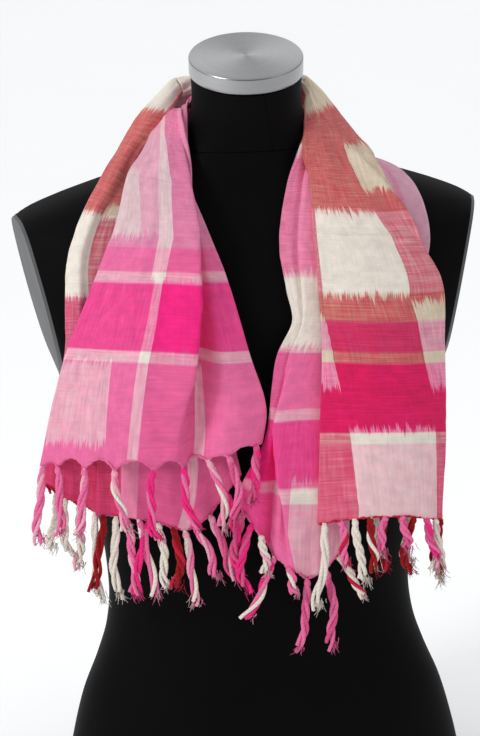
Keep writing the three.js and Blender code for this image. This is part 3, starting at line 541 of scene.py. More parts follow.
def cloth_grid(stretch, sizes):
    """The stretch as a grid of points and of places in the cloth, both in millimetres. The ribbon's surface
    is moved along its normal by folds along the cloth and by small creases, and kept clear of the form."""
    ribbon, side, width = stretch["ribbon"], stretch["side"], width_of(stretch)
    cell = sizes.cell / MM
    low, high = ((0, ribbon.joints[0]), ribbon.joints, (ribbon.joints[1], 1))[side + 1]
    u = np.linspace(0, 1, int(width / cell) + 12)
    edge = hem_edge(stretch, u) / ribbon.length
    start, end = low + edge * (side < 0), high - edge * (side > 0)
    v = start + (end - start) * np.linspace(0, 1, int((high - low) * ribbon.length / cell))[:, None]
    points = ribbon.at(u, v)
    normals = surface_normals(points)
    along = v * ribbon.length
    across = np.broadcast_to(u * width, along.shape)
    above_hem = (along, along - ribbon.joints[0] * ribbon.length, ribbon.length - along)[side + 1]
    seed = len(stretch["name"])
    folds = ripple(seed, across + 8 * ripple(seed + 1, along, along, 70, 70), along, 21, 190)
    folds += 0.4 * ripple(seed + 2, across, along, 9, 90)
    creases = ripple(5, across, along, 13, 34) + 0.5 * ripple(6, across, along, 30, 8)
    fine = ripple(7, across, along, 4.5, 11)
    height = stretch["gather"] * folds + stretch["crinkle"] * (0.6 * creases + 0.22 * fine)
    if side:
        height = height + np.exp(-above_hem / HEM_REACH) * HEM_WAVE * ripple(9, across, along, 7, 30)
    points = press_valleys(stretch, points, normals, across / width, above_hem)
    points = points + normals * height[..., None]
    lift = sizes.wall / MM / 2 + (LYING_LIFT if ribbon.lies else HANGING_LIFT)
    drawn = np.clip((points[..., 2] - 500) / 60, 0, 1) if ribbon.lies else 0
    points = clear_of_form(points, lift, drawn)
    place = np.stack([width * thread_place(stretch, across / width, above_hem), above_hem], axis=-1)
    for side_edge, tuck in ribbon.folds:
        more, more_place = fold_back(points, surface_normals(points), place, side_edge, tuck)
        pairs = (points, clear_of_form(more, EDGE_LIFT)), (place, more_place)
        points, place = (np.concatenate(pair if side_edge else pair[::-1], axis=1) for pair in pairs)
    return points, place


def grid_faces(rows, columns, closed=False):
    """Quads of a grid; closed joins the last column to the first."""
    i = np.arange(columns if closed else columns - 1)
    j = np.arange(rows - 1)[:, None] * columns
    nxt = (i + 1) % columns
    return np.stack([j + i, j + nxt, j + columns + nxt, j + columns + i], axis=-1).reshape(-1, 4)


def tube_faces(rings, sides):
    """Quads round a closed tube, and a face across each of its ends."""
    return [*grid_faces(rings, sides, closed=True).tolist(), list(range(sides))[::-1],
            list(range(sides * (rings - 1), sides * rings))]


def make_object(name, points, faces, uv=None, colours=None):
    """An object at the origin with its mesh in metres, smooth, with its UV map and yarn colours."""
    mesh = bpy.data.meshes.new(name)
    mesh.from_pydata((np.asarray(points) * MM).tolist(), [], [list(map(int, face)) for face in faces])
    if uv is not None:
        vertex = np.zeros(len(mesh.loops), np.int32)
        mesh.loops.foreach_get("vertex_index", vertex)
        layer = mesh.uv_layers.new(name="cloth")
        layer.data.foreach_set("uv", (np.asarray(uv)[vertex]).astype(np.float32).ravel())
    if colours is not None:
        layer = mesh.attributes.new("yarn", "FLOAT_COLOR", "POINT")
        layer.data.foreach_set("color", np.asarray(colours, np.float32).ravel())
    mesh.shade_smooth()
    mesh.update()
    piece = bpy.data.objects.new(name, mesh)
    bpy.context.scene.collection.objects.link(piece)
    return piece


def point_outwards(piece):
    """Turns all faces round where the mesh's signed volume is below zero."""
    mesh = piece.data
    mesh.calc_loop_triangles()
    corner = np.array([vertex.co for vertex in mesh.vertices])
    a, b, c = np.moveaxis(corner[[triangle.vertices[:] for triangle in mesh.loop_triangles]], 1, 0)
    if (a * np.cross(b, c)).sum() < 0:
        mesh.flip_normals()


def display(colour):
    """Display values from 0 to 255, as 0 to 1 light."""
    return tuple((c / 255) ** 2.2 for c in colour)


def coded(colour):
    """Display values from 0 to 1, with which the cloth's yarns are mixed."""
    return (*(c / 255 for c in colour), 1)


class Tree:
    """A shader node tree that adds nodes and links in one line each."""

    def __init__(self, tree):
        self.tree = tree

    def node(self, kind, inputs=None, **settings):
        made = self.tree.nodes.new("ShaderNode" + kind)
        for key, value in settings.items():
            setattr(made, key, value)
        for key, value in (inputs or {}).items():
            self.feed(made.inputs[key], value)
        return made

    def feed(self, socket, value):
        if isinstance(value, bpy.types.NodeSocket):
            self.tree.links.new(value, socket)
        else:
            socket.default_value = value

    def math(self, operation, *values, clamp=False):
        inputs = dict(enumerate(values))
        return self.node("Math", inputs, operation=operation, use_clamp=clamp).outputs[0]

    def scale(self, value, factor, shift=0.0, clamp=False):
        """The value times factor, plus shift."""
        return self.math("MULTIPLY_ADD", value, factor, shift, clamp=clamp)

    def mix(self, factor, a, b, blend="MIX"):
        return self.node("Mix", {0: factor, 6: a, 7: b}, data_type="RGBA", blend_type=blend).outputs[2]

    def near(self, distance, reach):
        """1 where the distance is nothing, down to 0 at reach."""
        return self.scale(distance, -1 / reach, 1.0, clamp=True)

    def dimmed(self, colour, shade):
        """The colour times the value shade."""
        grey = self.node("CombineXYZ", {0: shade, 1: shade, 2: shade})
        return self.mix(1.0, colour, grey.outputs[0], "MULTIPLY")

    def noise(self, vector, scale, detail=2.0, roughness=0.5):
        inputs = {"Vector": vector, "Scale": scale, "Detail": detail, "Roughness": roughness}
        return self.node("TexNoise", inputs).outputs["Fac"]

    def streaks(self, vector, across, along, detail, roughness):
        """Noise of one scale across and another along."""
        made = self.node("Mapping", {"Vector": vector, "Scale": (across, along, 1)})
        return self.noise(made.outputs[0], 1.0, detail, roughness)

    def split(self, vector):
        return self.node("SeparateXYZ", {"Vector": vector}).outputs

    def cloth_place(self):
        """The place in the UV map, and its two parts."""
        place = self.node("UVMap", uv_map="cloth").outputs[0]
        return place, *list(self.split(place))[:2]

    def surface(self, inputs, strength=0.0, height=None):
        """The principled shader with these inputs and a bump of that strength, as the material's surface."""
        shader = self.node("BsdfPrincipled", inputs)
        if height is not None:
            bump = self.node("Bump", {"Strength": strength, "Distance": 1.0, "Height": height})
            self.feed(shader.inputs["Normal"], bump.outputs[0])
        self.node("OutputMaterial", {"Surface": shader.outputs[0]})


def group(name, inputs, outputs):
    """An empty shader node group as a Tree, with what it is given and what it puts out."""
    made = bpy.data.node_groups.new(name, "ShaderNodeTree")
    kinds = {"colour": "NodeSocketColor", "value": "NodeSocketFloat", "vector": "NodeSocketVector"}
    for way, sockets in (("INPUT", inputs), ("OUTPUT", outputs)):
        for label, kind in sockets.items():
            made.interface.new_socket(name=label, in_out=way, socket_type=kinds[kind])
    return Tree(made), made.nodes.new("NodeGroupInput").outputs, made.nodes.new("NodeGroupOutput").inputs


def weave_group():
    """Plain weave of warp and weft yarns, with thick and thin places along both. Puts out the mixed colour and
    the height in metres."""
    tree, given, result = group(
        "Plain weave",
        {"Place": "vector", "Warp": "colour", "Weft": "colour", "Pitch": "value", "Grain": "value"},
        {"Colour": "colour", "Height": "value"},
    )
    place = given["Place"]
    turns = tree.math("DIVIDE", math.pi, given["Pitch"])
    waves = [tree.math("SINE", tree.scale(way, turns)) for way in list(tree.split(place))[:2]]
    over = tree.scale(*waves)
    warp_slub = tree.streaks(place, 640, 26, 2.5, 0.65)
    weft_slub = tree.streaks(place, 24, 620, 2.5, 0.65)
    share = tree.scale(tree.math("SUBTRACT", warp_slub, weft_slub), given["Grain"], 0.5)
    colour = tree.mix(tree.scale(over, 0.14, share, clamp=True), given["Weft"], given["Warp"])
    slubs = tree.math("ADD", warp_slub, weft_slub)
    shade = tree.scale(slubs, 0.1, tree.scale(tree.noise(place, 90, 3.0, 0.6), 0.22, 0.78))
    tree.feed(result["Colour"], tree.dimmed(colour, shade))
    tree.feed(result["Height"], tree.scale(slubs, 0.00035, tree.scale(tree.math("ABSOLUTE", over), 0.00012)))
    return tree.tree


def feather_group():
    """How far each yarn's colour change lies from its mark, in metres: noise over the yarns, wide and narrow."""
    tree, given, result = group("Feathered edge", {"Across": "value", "Depth": "value"}, {"Shift": "value"})
    spikes = []
    for scale in (900.0, 230.0):
        noise = tree.node("TexNoise", {"W": given["Across"], "Scale": scale, "Detail": 1.0},
                          noise_dimensions="1D")
        spikes.append(tree.scale(noise.outputs["Fac"], 1.6, -0.8))
    tree.feed(result["Shift"], tree.scale(tree.math("ADD", *spikes), given["Depth"]))
    return tree.tree


def place_group(tree, name, make, inputs):
    """Puts the shader node group of that name in a material's tree, and makes the group on its first use."""
    return tree.node("Group", inputs, node_tree=bpy.data.node_groups.get(name) or make()).outputs


def colour_ramp(tree, metres, changes, soft):
    """A ramp over the metres along the cloth: a yarn, then a height and a yarn for each change, which is
    spread over twice soft millimetres."""
    first, *words = changes.split()
    ramp = tree.node("ValToRGB", {0: tree.scale(metres, 1 / (RAMP_SPAN * MM))})
    elements = ramp.color_ramp.elements
    elements.remove(elements[1])
    elements[0].position = 0
    elements[0].color = coded(YARNS[first])
    for at, before, after in zip(words[::2], [first, *words[1::2]], words[1::2]):
        for offset, yarn in ((-soft, before), (soft, after)):
            element = elements.new(min((int(at) + offset) / RAMP_SPAN, 1))
            element.color = coded(YARNS[yarn])
    return ramp.outputs[0]


def new_material(name):
    material = bpy.data.materials.new(name)
    material.use_nodes = True
    material.node_tree.nodes.clear()
    return material, Tree(material.node_tree)


def cloth_material(name, stretch, sizes):
    """Cotton with warp columns whose colours change with feathered edges, crossed by weft bands. The yarns
    are mixed as display values and then turned to light."""
    material, tree = new_material(name)
    place, across, along = tree.cloth_place()
    shift = place_group(tree, "Feathered edge", feather_group, {"Across": across, "Depth": sizes.feather})[0]
    feathered = tree.math("ADD", along, shift)
    warp = None
    for start, changes in stretch["warp"].items():
        ramp = colour_ramp(tree, feathered, changes, WARP_BLEND)
        if warp is None:
            warp = ramp
        else:
            warp = tree.mix(tree.math("GREATER_THAN", across, start * width_of(stretch) * MM), warp, ramp)
    weft = colour_ramp(tree, along, stretch["weft"], WEFT_BLEND)
    woven = place_group(tree, "Plain weave", weave_group, {
        "Place": place, "Warp": warp, "Weft": weft, "Pitch": sizes.yarn_pitch, "Grain": stretch["grain"]})
    light = tree.node("Gamma", {"Color": woven["Colour"], "Gamma": 2.2}).outputs[0]
    height = woven["Height"]
    for crease in stretch.get("creases", ()):
        wander = tree.scale(tree.noise(place, 30.0), 0.004, crease * MM - 0.002)
        distance = tree.math("ABSOLUTE", tree.math("SUBTRACT", along, wander))
        height = tree.scale(tree.near(distance, 0.0016), -0.0011, height)
    tree.surface({"Base Color": light, "Roughness": 0.88, "Specular IOR Level": 0.15, "Sheen Weight": 0.08,
                  "Sheen Roughness": 0.5}, 0.6, height)
    return material


def yarn_material():
    """Twisted cotton yarn: the ply's own colour with lighter and darker fibres, and a ridge for each turn, with
    painted shade in its grooves and a painted lighter crest.
    """
    material, tree = new_material("twisted_yarn")
    place, around, along = tree.cloth_place()
    colour = tree.node("Attribute", attribute_name="yarn").outputs["Color"]
    ridge = tree.math("SINE", tree.scale(along, 1500, tree.scale(around, 4 * math.pi)))
    fibre = tree.streaks(place, 14, 900, 3.0, 0.7)
    # Painted shade: the ridge makes the colour darker in the twist's grooves and lighter on its crests.
    shade = tree.scale(ridge, 0.07, tree.scale(fibre, 0.5, 0.72))
    tree.surface({"Base Color": tree.dimmed(colour, shade), "Roughness": 0.85, "Specular IOR Level": 0.2,
                  "Sheen Weight": 0.1}, 0.7, tree.scale(tree.scale(fibre, 1.5, ridge), 0.0002))
    return material


def jersey_material(colours):
    """Black stretch jersey: fine ribs of knit, faint lint, and two sewn seams at the neck, one round it and
    one down its front."""
    material, tree = new_material("black_jersey")
    place = tree.node("TexCoord").outputs["Object"]
    x, y, z = tree.split(place)
    lint = tree.noise(place, 420, 4.0, 0.7)
    above = tree.math("SUBTRACT", z, NECK_SEAM * MM)
    down = tree.math("ABSOLUTE", tree.math("SUBTRACT", x, tree.scale(above, -0.16, 0.0235)))
    elsewhere = tree.math("ADD", tree.math("LESS_THAN", above, 0), tree.math("GREATER_THAN", y, -0.02))
    nearest = tree.math("MINIMUM", tree.math("ABSOLUTE", above), tree.math("ADD", down, elsewhere))
    groove = tree.near(nearest, 0.0011)
    shade = tree.scale(tree.noise(place, 9, 2.0, 0.5), 0.5, tree.scale(lint, 0.8, 0.35))
    shade = tree.scale(shade, tree.scale(groove, -0.7, 1.0))
    ribs = tree.math("SINE", tree.scale(z, 3600))
    height = tree.scale(groove, -0.0012, tree.scale(ribs, 0.00004, tree.scale(lint, 0.0002)))
    tree.surface({"Base Color": tree.dimmed((*colours.jersey, 1), shade), "Specular IOR Level": 0.04,
                  "Roughness": tree.scale(lint, 0.2, 0.5)}, 0.5, height)
    return material


def plate_material(colours):
    """Flat grey plate: even matt board with a fine grain and rubbed patches."""
    material, tree = new_material("grey_plate")
    place = tree.node("TexCoord").outputs["Object"]
    grain = tree.noise(place, 900, 3.0, 0.6)
    rubbed = tree.noise(place, 14, 4.0, 0.6)
    shade = tree.scale(grain, 0.2, tree.scale(rubbed, 0.3, 0.75))
    tree.surface({"Base Color": tree.dimmed((*colours.plate, 1), shade), "Specular IOR Level": 0.35,
                  "Roughness": tree.scale(rubbed, 0.25, 0.4)}, 0.4, tree.scale(grain, 0.00008))
    return material


def aluminium_material(colours):
    """Spun aluminium: rings of fine scratches round the cap's middle and along its rim, with a painted highlight
    in bright and dark sectors round the cap, and broad streaks that are partly painted reflection.
    """
    material, tree = new_material("spun_aluminium")
    place, around, _ = tree.cloth_place()
    scratches = tree.streaks(place, 3.0, 2600, 4.0, 0.75)
    # Broad streaks of uneven tone, which stand in partly for painted reflections along the rim.
    broad = tree.streaks(place, 2.0, 240, 2.0, 0.5)
    # Painted highlight: two bright and two dark sectors round the cap, like the bow-tie highlight of spun metal.
    painted_highlight_sweep = tree.math("SINE", tree.scale(around, 4 * math.pi, 1.2))
    shade = tree.scale(painted_highlight_sweep, 0.22, tree.scale(scratches, 0.22, tree.scale(broad, 0.16, 0.8)))
    tree.surface({"Base Color": tree.dimmed((*colours.aluminium, 1), shade), "Metallic": 1.0,
                  "Roughness": tree.scale(scratches, 0.16, 0.2)}, 0.35, tree.scale(scratches, 0.00003))
    return material


def floor_material(colours):
    """Pale, almost even floor, with a faint light of its own like the backdrop's."""
    material, tree = new_material("pale_floor")
    place = tree.node("TexCoord").outputs["Object"]
    shade = tree.scale(tree.noise(place, 3.0), 0.02, 0.985)
    tree.surface({"Base Color": tree.dimmed((*colours.floor, 1), shade), "Roughness": 0.9,
                  "Specular IOR Level": 0.0, "Emission Color": BACKDROP, "Emission Strength": 0.17})
    return material


def arm_plane(side, offset, y, z):
    """x of the arm plane at y and z, moved out by offset: a plane that leans in downwards and turns in
    backwards."""
    lean, turn = math.radians(ARM_PLATE["lean"]), math.radians(ARM_PLATE["turn"])
    across = offset + math.cos(lean) * math.sin(turn) * y + math.sin(lean) * (z - ARM_PLATE["z"])
    return side * (ARM_PLATE["x"] + across / (math.cos(lean) * math.cos(turn)))


def section_points(z, angle):
    """Points of the form's sections: z has shape (n,), angle (n, m). A superellipse, tipped towards the back."""
    half, depth, x, y, corner, tip = (column[:, None] for column in form_section(z))
    power = 2 / corner
    side = half * np.sign(np.cos(angle)) * np.abs(np.cos(angle)) ** power
    along = depth * np.sign(np.sin(angle)) * np.abs(np.sin(angle)) ** power
    return np.stack([x + side, y + along, z[:, None] + tip * along], axis=-1)


def arm_angles(side, offset, z, spread=0.06):
    """The two angles at which each section meets the arm plane, as (front, back) from the side's own middle.
    Where they don't meet, they lie by spread either side of the angle that comes nearest."""
    turn = np.linspace(-90, 90, 1441)
    middle = 0 if side > 0 else 180
    angle = np.radians(middle + side * turn)
    points = section_points(z, np.broadcast_to(angle, (len(z), len(angle))))
    beyond = side * (points[..., 0] - arm_plane(side, offset, points[..., 1], points[..., 2]))
    nearest = beyond.argmax(axis=1)
    outside = (beyond > 0) & (z > ARM_PLATE["lowest"])[:, None]
    meets = outside.any(axis=1)
    first = np.where(meets, outside.argmax(axis=1), nearest)
    last = np.where(meets, outside.shape[1] - 1 - outside[:, ::-1].argmax(axis=1), nearest)
    apart = side * np.where(meets, 0, spread)
    return angle[first] - apart, angle[last] + apart


def chord(side, offset, z, columns, spread=0.06):
    """The side of each section between its two arm angles, cut flat where it lies beyond the arm plane."""
    first, last = arm_angles(side, offset, z, spread)
    t = np.linspace(0, 1, columns)[None, :]
    line = section_points(z, first[:, None] * (1 - t) + last[:, None] * t)
    plane = arm_plane(side, offset, line[..., 1], line[..., 2])
    beyond = (side * (line[..., 0] - plane) > 0) & (z > ARM_PLATE["lowest"])[:, None]
    line[..., 0] = np.where(beyond, plane, line[..., 0])
    return line


def finish_piece(piece, material, slot, *nodes):
    """Gives the piece its material and its body, and hides the CAD nodes that it stands for. The slot is not
    used.
    """
    piece.data.materials.append(material)
    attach(piece, "root")
    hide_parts(*nodes)
    return piece


def finish_solid(piece, degrees, *row):
    """Finishes a closed piece, with sharp edges where faces meet at more than the angle."""
    point_outwards(piece)
    piece.data.set_sharp_from_angle(angle=math.radians(degrees))
    finish_piece(piece, *row)


def length(name, description, default):
    return FloatProperty(name=name, description=description, default=default, precision=5, subtype="DISTANCE",
                         unit="LENGTH")


def tint(name, description, default):
    return FloatVectorProperty(name=name, description=description, default=default, size=3, subtype="COLOR")


class ScarfSizes(bpy.types.PropertyGroup):
    wall: length("Cloth", "Thickness of the cloth", 0.0013)
    cell: length("Mesh cell", "Distance between the points of the cloth's mesh", 0.0023)
    yarn_pitch: length("Yarn pitch", "Distance between neighbouring yarns", 0.0009)
    feather: length("Feathering", "Reach of the feathered colour changes", 0.01)
    ply: length("Ply", "Radius of one of a tassel's plies", 0.0023)
    fibres: IntProperty(name="Loose fibres", description="Frayed ends at each tassel's tip", default=22, min=0,
                        max=30)
    form_columns: IntProperty(name="Form columns", description="Columns of each quarter of the form",
                              default=44, min=8, max=90)


class ScarfColours(bpy.types.PropertyGroup):
    jersey: tint("Jersey", "Colour of the form's cover", (0.0026, 0.0025, 0.0028))
    plate: tint("Arm plates", "Colour of the flat arm plates", (0.075, 0.075, 0.08))
    aluminium: tint("Neck cap", "Colour of the metal cap", (0.37, 0.375, 0.38))
    floor: tint("Floor", "Colour of the floor", (0.93, 0.94, 0.95))


class SCARF_OT_stage(bpy.types.Operator):
    """Make the floor, the lights and the camera"""

    bl_idname = "scarf.stage"
    bl_label = "Stage"

    def execute(self, context):
        scene = context.scene
        scene.view_settings.view_transform = "Standard"
        self.add_camera(scene)
        square = ((-1, -1), (1, -1), (1, 1), (-1, 1))
        corners = [(x * FLOOR_REACH, y * FLOOR_REACH, -FLOOR_DROP) for x, y in square]
        floor = make_object("floor", corners, [(0, 1, 2, 3)])
        floor.data.materials.append(floor_material(scene.scarf_colours))
        world = bpy.data.worlds.new("studio")
        world.use_nodes = True
        background = world.node_tree.nodes["Background"]
        background.inputs["Color"].default_value = BACKDROP
        background.inputs["Strength"].default_value = 0.27
        scene.world = world
        self.add_light(scene, "ceiling", (0, 7, 5), (0, 7, 0), 24, 1150)
        self.add_light(scene, "key", (-2.4, -1.8, 1.9), (0, 0, 0.45), 0.8, 42)
        self.add_light(scene, "fill", (2.2, -1.6, 1.2), (0, 0, 0.4), 1.4, 4)
        return {"FINISHED"}

    @staticmethod
    def add_light(scene, name, place, target, size, power):
        """A square soft light at place that faces target."""
        lamp = bpy.data.lights.new(name, "AREA")
        lamp.size = size
        lamp.energy = power
        piece = bpy.data.objects.new(name, lamp)
        piece.location = place
        towards = Vector(target) - Vector(place)
        piece.rotation_euler = towards.to_track_quat("-Z", "Y").to_euler()
        scene.collection.objects.link(piece)

    @staticmethod
    def add_camera(scene):
        """A long lens a little above the chest, which looks down by 13 degrees and is turned by 4 and rolled
        by 2."""
        distance, rise, turn, roll = 2.8, math.radians(13), math.radians(-4), math.radians(-2)
        target = Vector((-0.011, 0, 0.422))
        back = Vector((math.sin(turn) * math.cos(rise), -math.cos(turn) * math.cos(rise), math.sin(rise)))
        level = Vector((math.cos(turn), math.sin(turn), 0))
        upright = level.cross(-back)
        right = math.cos(roll) * level + math.sin(roll) * upright
        up = math.cos(roll) * upright - math.sin(roll) * level
        lens = bpy.data.cameras.new("camera")
        lens.sensor_width = 36
        lens.lens = 36 * distance / 0.736
        lens.clip_end = 100
        camera = bpy.data.objects.new("camera", lens)
        camera.rotation_euler = Matrix((right, up, back)).transposed().to_euler()
        camera.location = target + back * distance
        scene.collection.objects.link(camera)
        scene.camera = camera


class SCARF_OT_form(bpy.types.Operator):
    """Make the jersey-covered torso with its flat arm cuts"""

    bl_idname = "scarf.form"
    bl_label = "Torso"

    def execute(self, context):
        z = np.concatenate([[0], np.linspace(1.2, 722.3, 240), [FORM[-1, 0]]])
        right, left = arm_angles(1, 0, z), arm_angles(-1, 0, z)
        t = np.linspace(0, 1, context.scene.scarf_sizes.form_columns * 2)[None, 1:-1]
        back, front = (
            section_points(z, start[:, None] * (1 - t) + end[:, None] * t)
            for start, end in ((right[1], left[1]), (left[0], right[0] + 2 * math.pi)))
        points = np.concatenate([chord(1, 0, z, 24), back, chord(-1, 0, z, 24)[:, ::-1], front], axis=1)
        piece = make_object("torso", points.reshape(-1, 3), tube_faces(*points.shape[:2]))
        piece.data.validate()
        finish_solid(piece, 40, jersey_material(context.scene.scarf_colours), "jersey", "form_torso")
        return {"FINISHED"}


class SCARF_OT_plates(bpy.types.Operator):
    """Make the flat grey plates on the arm cuts"""

    bl_idname = "scarf.plates"
    bl_label = "Arm plates"

    def execute(self, context):
        material = plate_material(context.scene.scarf_colours)
        z = np.linspace(ARM_PLATE["bottom"], 600, 120)
        gap, thick = ARM_PLATE["gap"], ARM_PLATE["thickness"]
        for side, name in ((-1, "left"), (1, "right")):
            first, last = arm_angles(side, gap + thick / 2, z, 0)
            heights = z[np.abs(last - first) > 0.02]
            ring = np.concatenate([
                chord(side, gap, heights, 16, 0), chord(side, gap + thick, heights, 16, 0)[:, ::-1]], axis=1)
            low = np.clip((heights[0] + 24 - heights) / 26, 0, 1)
            middle = ring.mean(axis=1, keepdims=True)
            ring = middle + (ring - middle) * np.sqrt(1 - low**2)[:, None, None]
            piece = make_object(f"plate_{name}", ring.reshape(-1, 3), tube_faces(*ring.shape[:2]))
            finish_solid(piece, 40, material, "plate", f"form_plate_{name}")
        return {"FINISHED"}


class SCARF_OT_cap(bpy.types.Operator):
    """Make the spun aluminium neck cap"""

    bl_idname = "scarf.cap"
    bl_label = "Neck cap"

    def execute(self, context):
        radius, height, rounding = CAP["radius"], CAP["height"], CAP["round"]
        turn = np.radians(np.linspace(0, 90, 9))
        r = np.concatenate([
            [0.01, 30, radius - 1, radius - 0.3, radius, radius],
            radius - rounding + rounding * np.cos(turn), [radius - 3.2, 40, 26, 12, 0.01]])
        h = np.concatenate([
            [0, 0, 0, 0.3, 1, 4], height - rounding + rounding * np.sin(turn), [height] * 5])
        angle = np.linspace(0, 2 * math.pi, 161)
        x, y = r[:, None] * np.cos(angle), r[:, None] * np.sin(angle)
        z = np.broadcast_to(h[:, None], x.shape)
        tilt = math.radians(CAP["tilt"])
        points = np.stack([
            CAP["x"] + x, CAP["y"] + y * math.cos(tilt) - z * math.sin(tilt),
            CAP["z"] + y * math.sin(tilt) + z * math.cos(tilt)], axis=-1)
        travel = travelled(np.hypot(np.diff(r), np.diff(h))) * MM
        uv = np.stack(np.broadcast_arrays(angle[None, :] / (2 * math.pi), travel[:, None]), axis=-1)
        piece = make_object("cap", points.reshape(-1, 3), grid_faces(*x.shape), uv.reshape(-1, 2))
        finish_solid(piece, 60, aluminium_material(context.scene.scarf_colours), "aluminium", "neck_cap")
        return {"FINISHED"}


class SCARF_OT_tassels(bpy.types.Operator):
    """Make the rows of knotted tassels and the cords along the hems"""

    bl_idname = "scarf.tassels"
    bl_label = "Tassels"

    def execute(self, context):
        sizes = context.scene.scarf_sizes
        material = yarn_material()
        hemmed = [stretch for stretch in STRETCHES if "tassels" in stretch]
        for number, stretch in enumerate(hemmed):
            name = stretch["name"]
            piece = join_tubes(f"{name}_fringe", [
                hem_cord(stretch), *tassel_plies(stretch, sizes, number), *tassel_knots(stretch),
                *loose_fibres(stretch, sizes, number)])
            finish_piece(piece, material, f"{stretch['ribbon'].name}_yarn", f"{name}_tassels")
        return {"FINISHED"}


def tube(path, radius, around, sides, colour, flatness=1.0):
    """A closed tube: rings of a given radius about each point of the path, across its direction. around is the
    turn of each ring, for twisted yarn. Returns points, faces, places on the yarn and colours."""
    radius = np.broadcast_to(radius, len(path))
    direction = unit(np.gradient(path, axis=0))
    side = unit(np.cross(direction, AXES[1]))
    front = np.cross(side, direction)
    angle = np.linspace(0, 2 * math.pi, sides, endpoint=False) + np.broadcast_to(around, len(path))[:, None]
    ring = side[:, None] * np.cos(angle)[..., None] + flatness * front[:, None] * np.sin(angle)[..., None]
    points = path[:, None] + ring * radius[:, None, None]
    travel = travelled(np.linalg.norm(np.diff(path, axis=0), axis=1)) * MM
    place = np.stack(np.broadcast_arrays(np.arange(sides)[None] / sides, travel[:, None]), axis=-1)
    shade = np.broadcast_to([*display(YARNS[colour]), 1], (len(path) * sides, 4))
    return points.reshape(-1, 3), tube_faces(len(path), sides), place.reshape(-1, 2), shade


def join_tubes(name, parts):
    """One object from many closed tubes."""
    points, places, colours, faces, first = [], [], [], [], 0
    for part_points, part_faces, part_place, part_colour in parts:
        points.append(part_points)
        places.append(part_place)
        colours.append(part_colour)
        faces += [[first + i for i in face] for face in part_faces]
        first += len(part_points)
    piece = make_object(name, np.concatenate(points), faces, np.concatenate(places), np.concatenate(colours))
    point_outwards(piece)
    return piece


def hem_points(stretch, u):
    """Points on the cloth's hem at u."""
    rise = hem_edge(stretch, u) / stretch["ribbon"].length
    return stretch["ribbon"].at(u, (rise if stretch["side"] < 0 else 1 - rise)[None])[0]


def hem_cord(stretch):
    """The rolled edge of the hem: a thin twisted tube along it."""
    u = np.linspace(0.002, 0.998, 130)
    thick = CORD_RADIUS + 0.3 * np.sin(u * 210) + 0.35 * ripple(3, u * 300, u * 0, 9, 9)
    return tube(clear_of_form(hem_points(stretch, u), CORD_LIFT), thick, u * 60, 6, stretch["cord"])


def tassel_path(stretch, row, s, phase):
    """A tassel's middle line: down from its root with its drift and bow, and a slight wave."""
    at, drift, bow, drop, _ = row
    root = hem_points(stretch, np.array([at]))[0]
    wave = TASSEL_WAVE * np.sin(s * 8.5 + phase) * s
    return np.stack([
        root[0] + drift * s + 4 * bow * s * (1 - s) + wave,
        root[1] - stretch["forwards"] * np.sin(s * math.pi / 2) - 1.0 - 0.7 * np.cos(s * 6 + phase) * s,
        root[2] + 1.5 - drop * s,
    ], axis=-1)


def plies_of(row):
    """The yarns of a tassel's three plies: those of its row, over again where it has fewer."""
    return (row[-1].split() * 3)[:3]


def tassel_plies(stretch, sizes, number):
    """Three plies that twist loosely about each tassel's middle line."""
    rng = np.random.default_rng(40 + number)
    s = np.linspace(0, 1, 30)
    ply = sizes.ply / MM
    parts = []
    for row in stretch["tassels"]:
        phase = rng.uniform(0, 6.28)
        turns = rng.uniform(6.0, 12.0) * rng.choice([-1, 1])
        path = tassel_path(stretch, row, s, phase)
        for k, colour in enumerate(plies_of(row)):
            angle = phase + 2 * math.pi * k / 3 + turns * s
            spread = ply * (0.3 + 0.7 * np.clip(s / 0.22, 0, 1) + 0.6 * s**3 * rng.uniform(0, 1.6))
            offset = np.stack([spread * np.cos(angle), 0.6 * spread * np.sin(angle), 0 * s], axis=-1)
            radius = ply * (0.62 + 0.38 * np.clip(s / 0.18, 0, 1)) * (1 - 0.25 * s) * rng.uniform(0.88, 1.1)
            cut = len(s) - int(rng.integers(0, 4))
            parts.append(tube((path + offset)[:cut], radius[:cut], 3 * s[:cut], 8, colour, 0.85))
    return parts


def tassel_knots(stretch):
    """A wrapped knot where each tassel leaves the hem: a short tube that swells in its middle."""
    s = np.linspace(0.0, 1.0, 7)
    parts = []
    for row in stretch["tassels"]:
        path = tassel_path(stretch, row, 0.02 + 0.1 * s, 0.0)
        radius = KNOT_RADIUS + KNOT_SWELL * np.sin(s * math.pi) ** 0.7
        parts.append(tube(path, radius, 0, 10, plies_of(row)[0], 0.8))
    return parts


def loose_fibres(stretch, sizes, number):
    """Frayed ends: thin curved threads that leave each tassel's tip."""
    rng = np.random.default_rng(70 + number)
    s = np.linspace(0, 1, 5)
    parts = []
    for row in stretch["tassels"]:
        tip = tassel_path(stretch, row, np.array([0.88, 0.94]), 0.0)
        along = unit(tip[1] - tip[0])
        for k in range(sizes.fibres):
            out = rng.normal(0, 1, 3) * (0.45, 0.3, 0.3)
            reach = row[3] * 0.06 + rng.uniform(1, 5)
            start = tip[0] + rng.normal(0, 1, 3) * (2.2, 1.1, 2.5)
            path = start + np.outer(s, along * reach) + np.outer(s**2, out * reach * 0.8)
            parts.append(tube(path, FIBRE_RADIUS * (1 - 0.5 * s), 0, 3, plies_of(row)[k % 3]))
    return parts


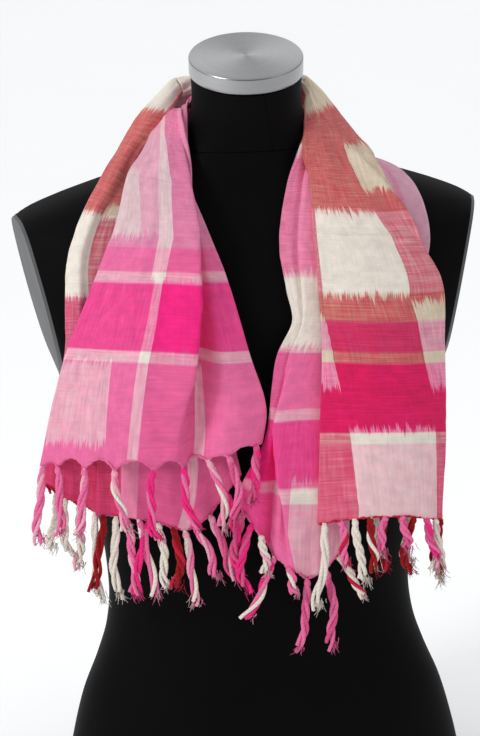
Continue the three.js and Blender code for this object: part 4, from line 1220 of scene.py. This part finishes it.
def add_cloth(context, ribbon):
    """The stretches of a ribbon as sheets with a wall."""
    sizes = context.scene.scarf_sizes
    for stretch in (row for row in STRETCHES if row["ribbon"] is ribbon):
        points, place = cloth_grid(stretch, sizes)
        faces = grid_faces(*points.shape[:2])
        outwards = np.cross(points[1:, :-1] - points[:-1, :-1], points[:-1, 1:] - points[:-1, :-1])
        if (outwards * surface_normals(points)[:-1, :-1]).sum() > 0:
            faces = faces[:, ::-1]
        name = f"cloth_{stretch['name']}"
        piece = make_object(name, points.reshape(-1, 3), faces, place.reshape(-1, 2) * MM)
        wall = piece.modifiers.new("wall", "SOLIDIFY")
        wall.thickness = sizes.wall
        wall.offset = 0
        finish_piece(piece, cloth_material(name, stretch, sizes), f"{ribbon.name}_cloth", stretch["name"])


class SCARF_OT_pink(bpy.types.Operator):
    """Make the pink half: the left front, the gathers inside the neck and the right inner layer"""

    bl_idname = "scarf.pink"
    bl_label = "Pink half"

    def execute(self, context):
        add_cloth(context, PINK)
        return {"FINISHED"}


class SCARF_OT_red(bpy.types.Operator):
    """Make the red half: the left roll, the gathers behind the neck and the right front"""

    bl_idname = "scarf.red"
    bl_label = "Red half"

    def execute(self, context):
        add_cloth(context, RED)
        return {"FINISHED"}


class SCARF_OT_pale(bpy.types.Operator):
    """Make the pale folds between the two halves"""

    bl_idname = "scarf.pale"
    bl_label = "Pale folds"

    def execute(self, context):
        add_cloth(context, PALE)
        return {"FINISHED"}


STEPS = (SCARF_OT_stage, SCARF_OT_form, SCARF_OT_plates, SCARF_OT_cap, SCARF_OT_tassels, SCARF_OT_pink,
         SCARF_OT_red, SCARF_OT_pale)


class SCARF_PT_sidebar(bpy.types.Panel):
    bl_label = "Fringed scarf"
    bl_idname = "SCARF_PT_sidebar"
    bl_space_type = "VIEW_3D"
    bl_region_type = "UI"
    bl_category = "Scarf"

    def draw(self, context):
        layout = self.layout
        for group_of_settings in (context.scene.scarf_sizes, context.scene.scarf_colours):
            for name in group_of_settings.__annotations__:
                layout.prop(group_of_settings, name)
        for step in STEPS:
            layout.operator(step.bl_idname)


CLASSES = (ScarfSizes, ScarfColours, *STEPS, SCARF_PT_sidebar)


def register():
    for each in CLASSES:
        bpy.utils.register_class(each)
    bpy.types.Scene.scarf_sizes = PointerProperty(type=ScarfSizes)
    bpy.types.Scene.scarf_colours = PointerProperty(type=ScarfColours)


def unregister():
    del bpy.types.Scene.scarf_colours
    del bpy.types.Scene.scarf_sizes
    for each in reversed(CLASSES):
        bpy.utils.unregister_class(each)


def main():
    register()
    bpy.ops.scarf.stage()
    bpy.ops.scarf.form()
    bpy.ops.scarf.plates()
    bpy.ops.scarf.cap()
    bpy.ops.scarf.tassels()
    bpy.ops.scarf.pink()
    bpy.ops.scarf.red()
    bpy.ops.scarf.pale()
    bpy.context.view_layer.update()


if __name__ == "__main__":
    main()
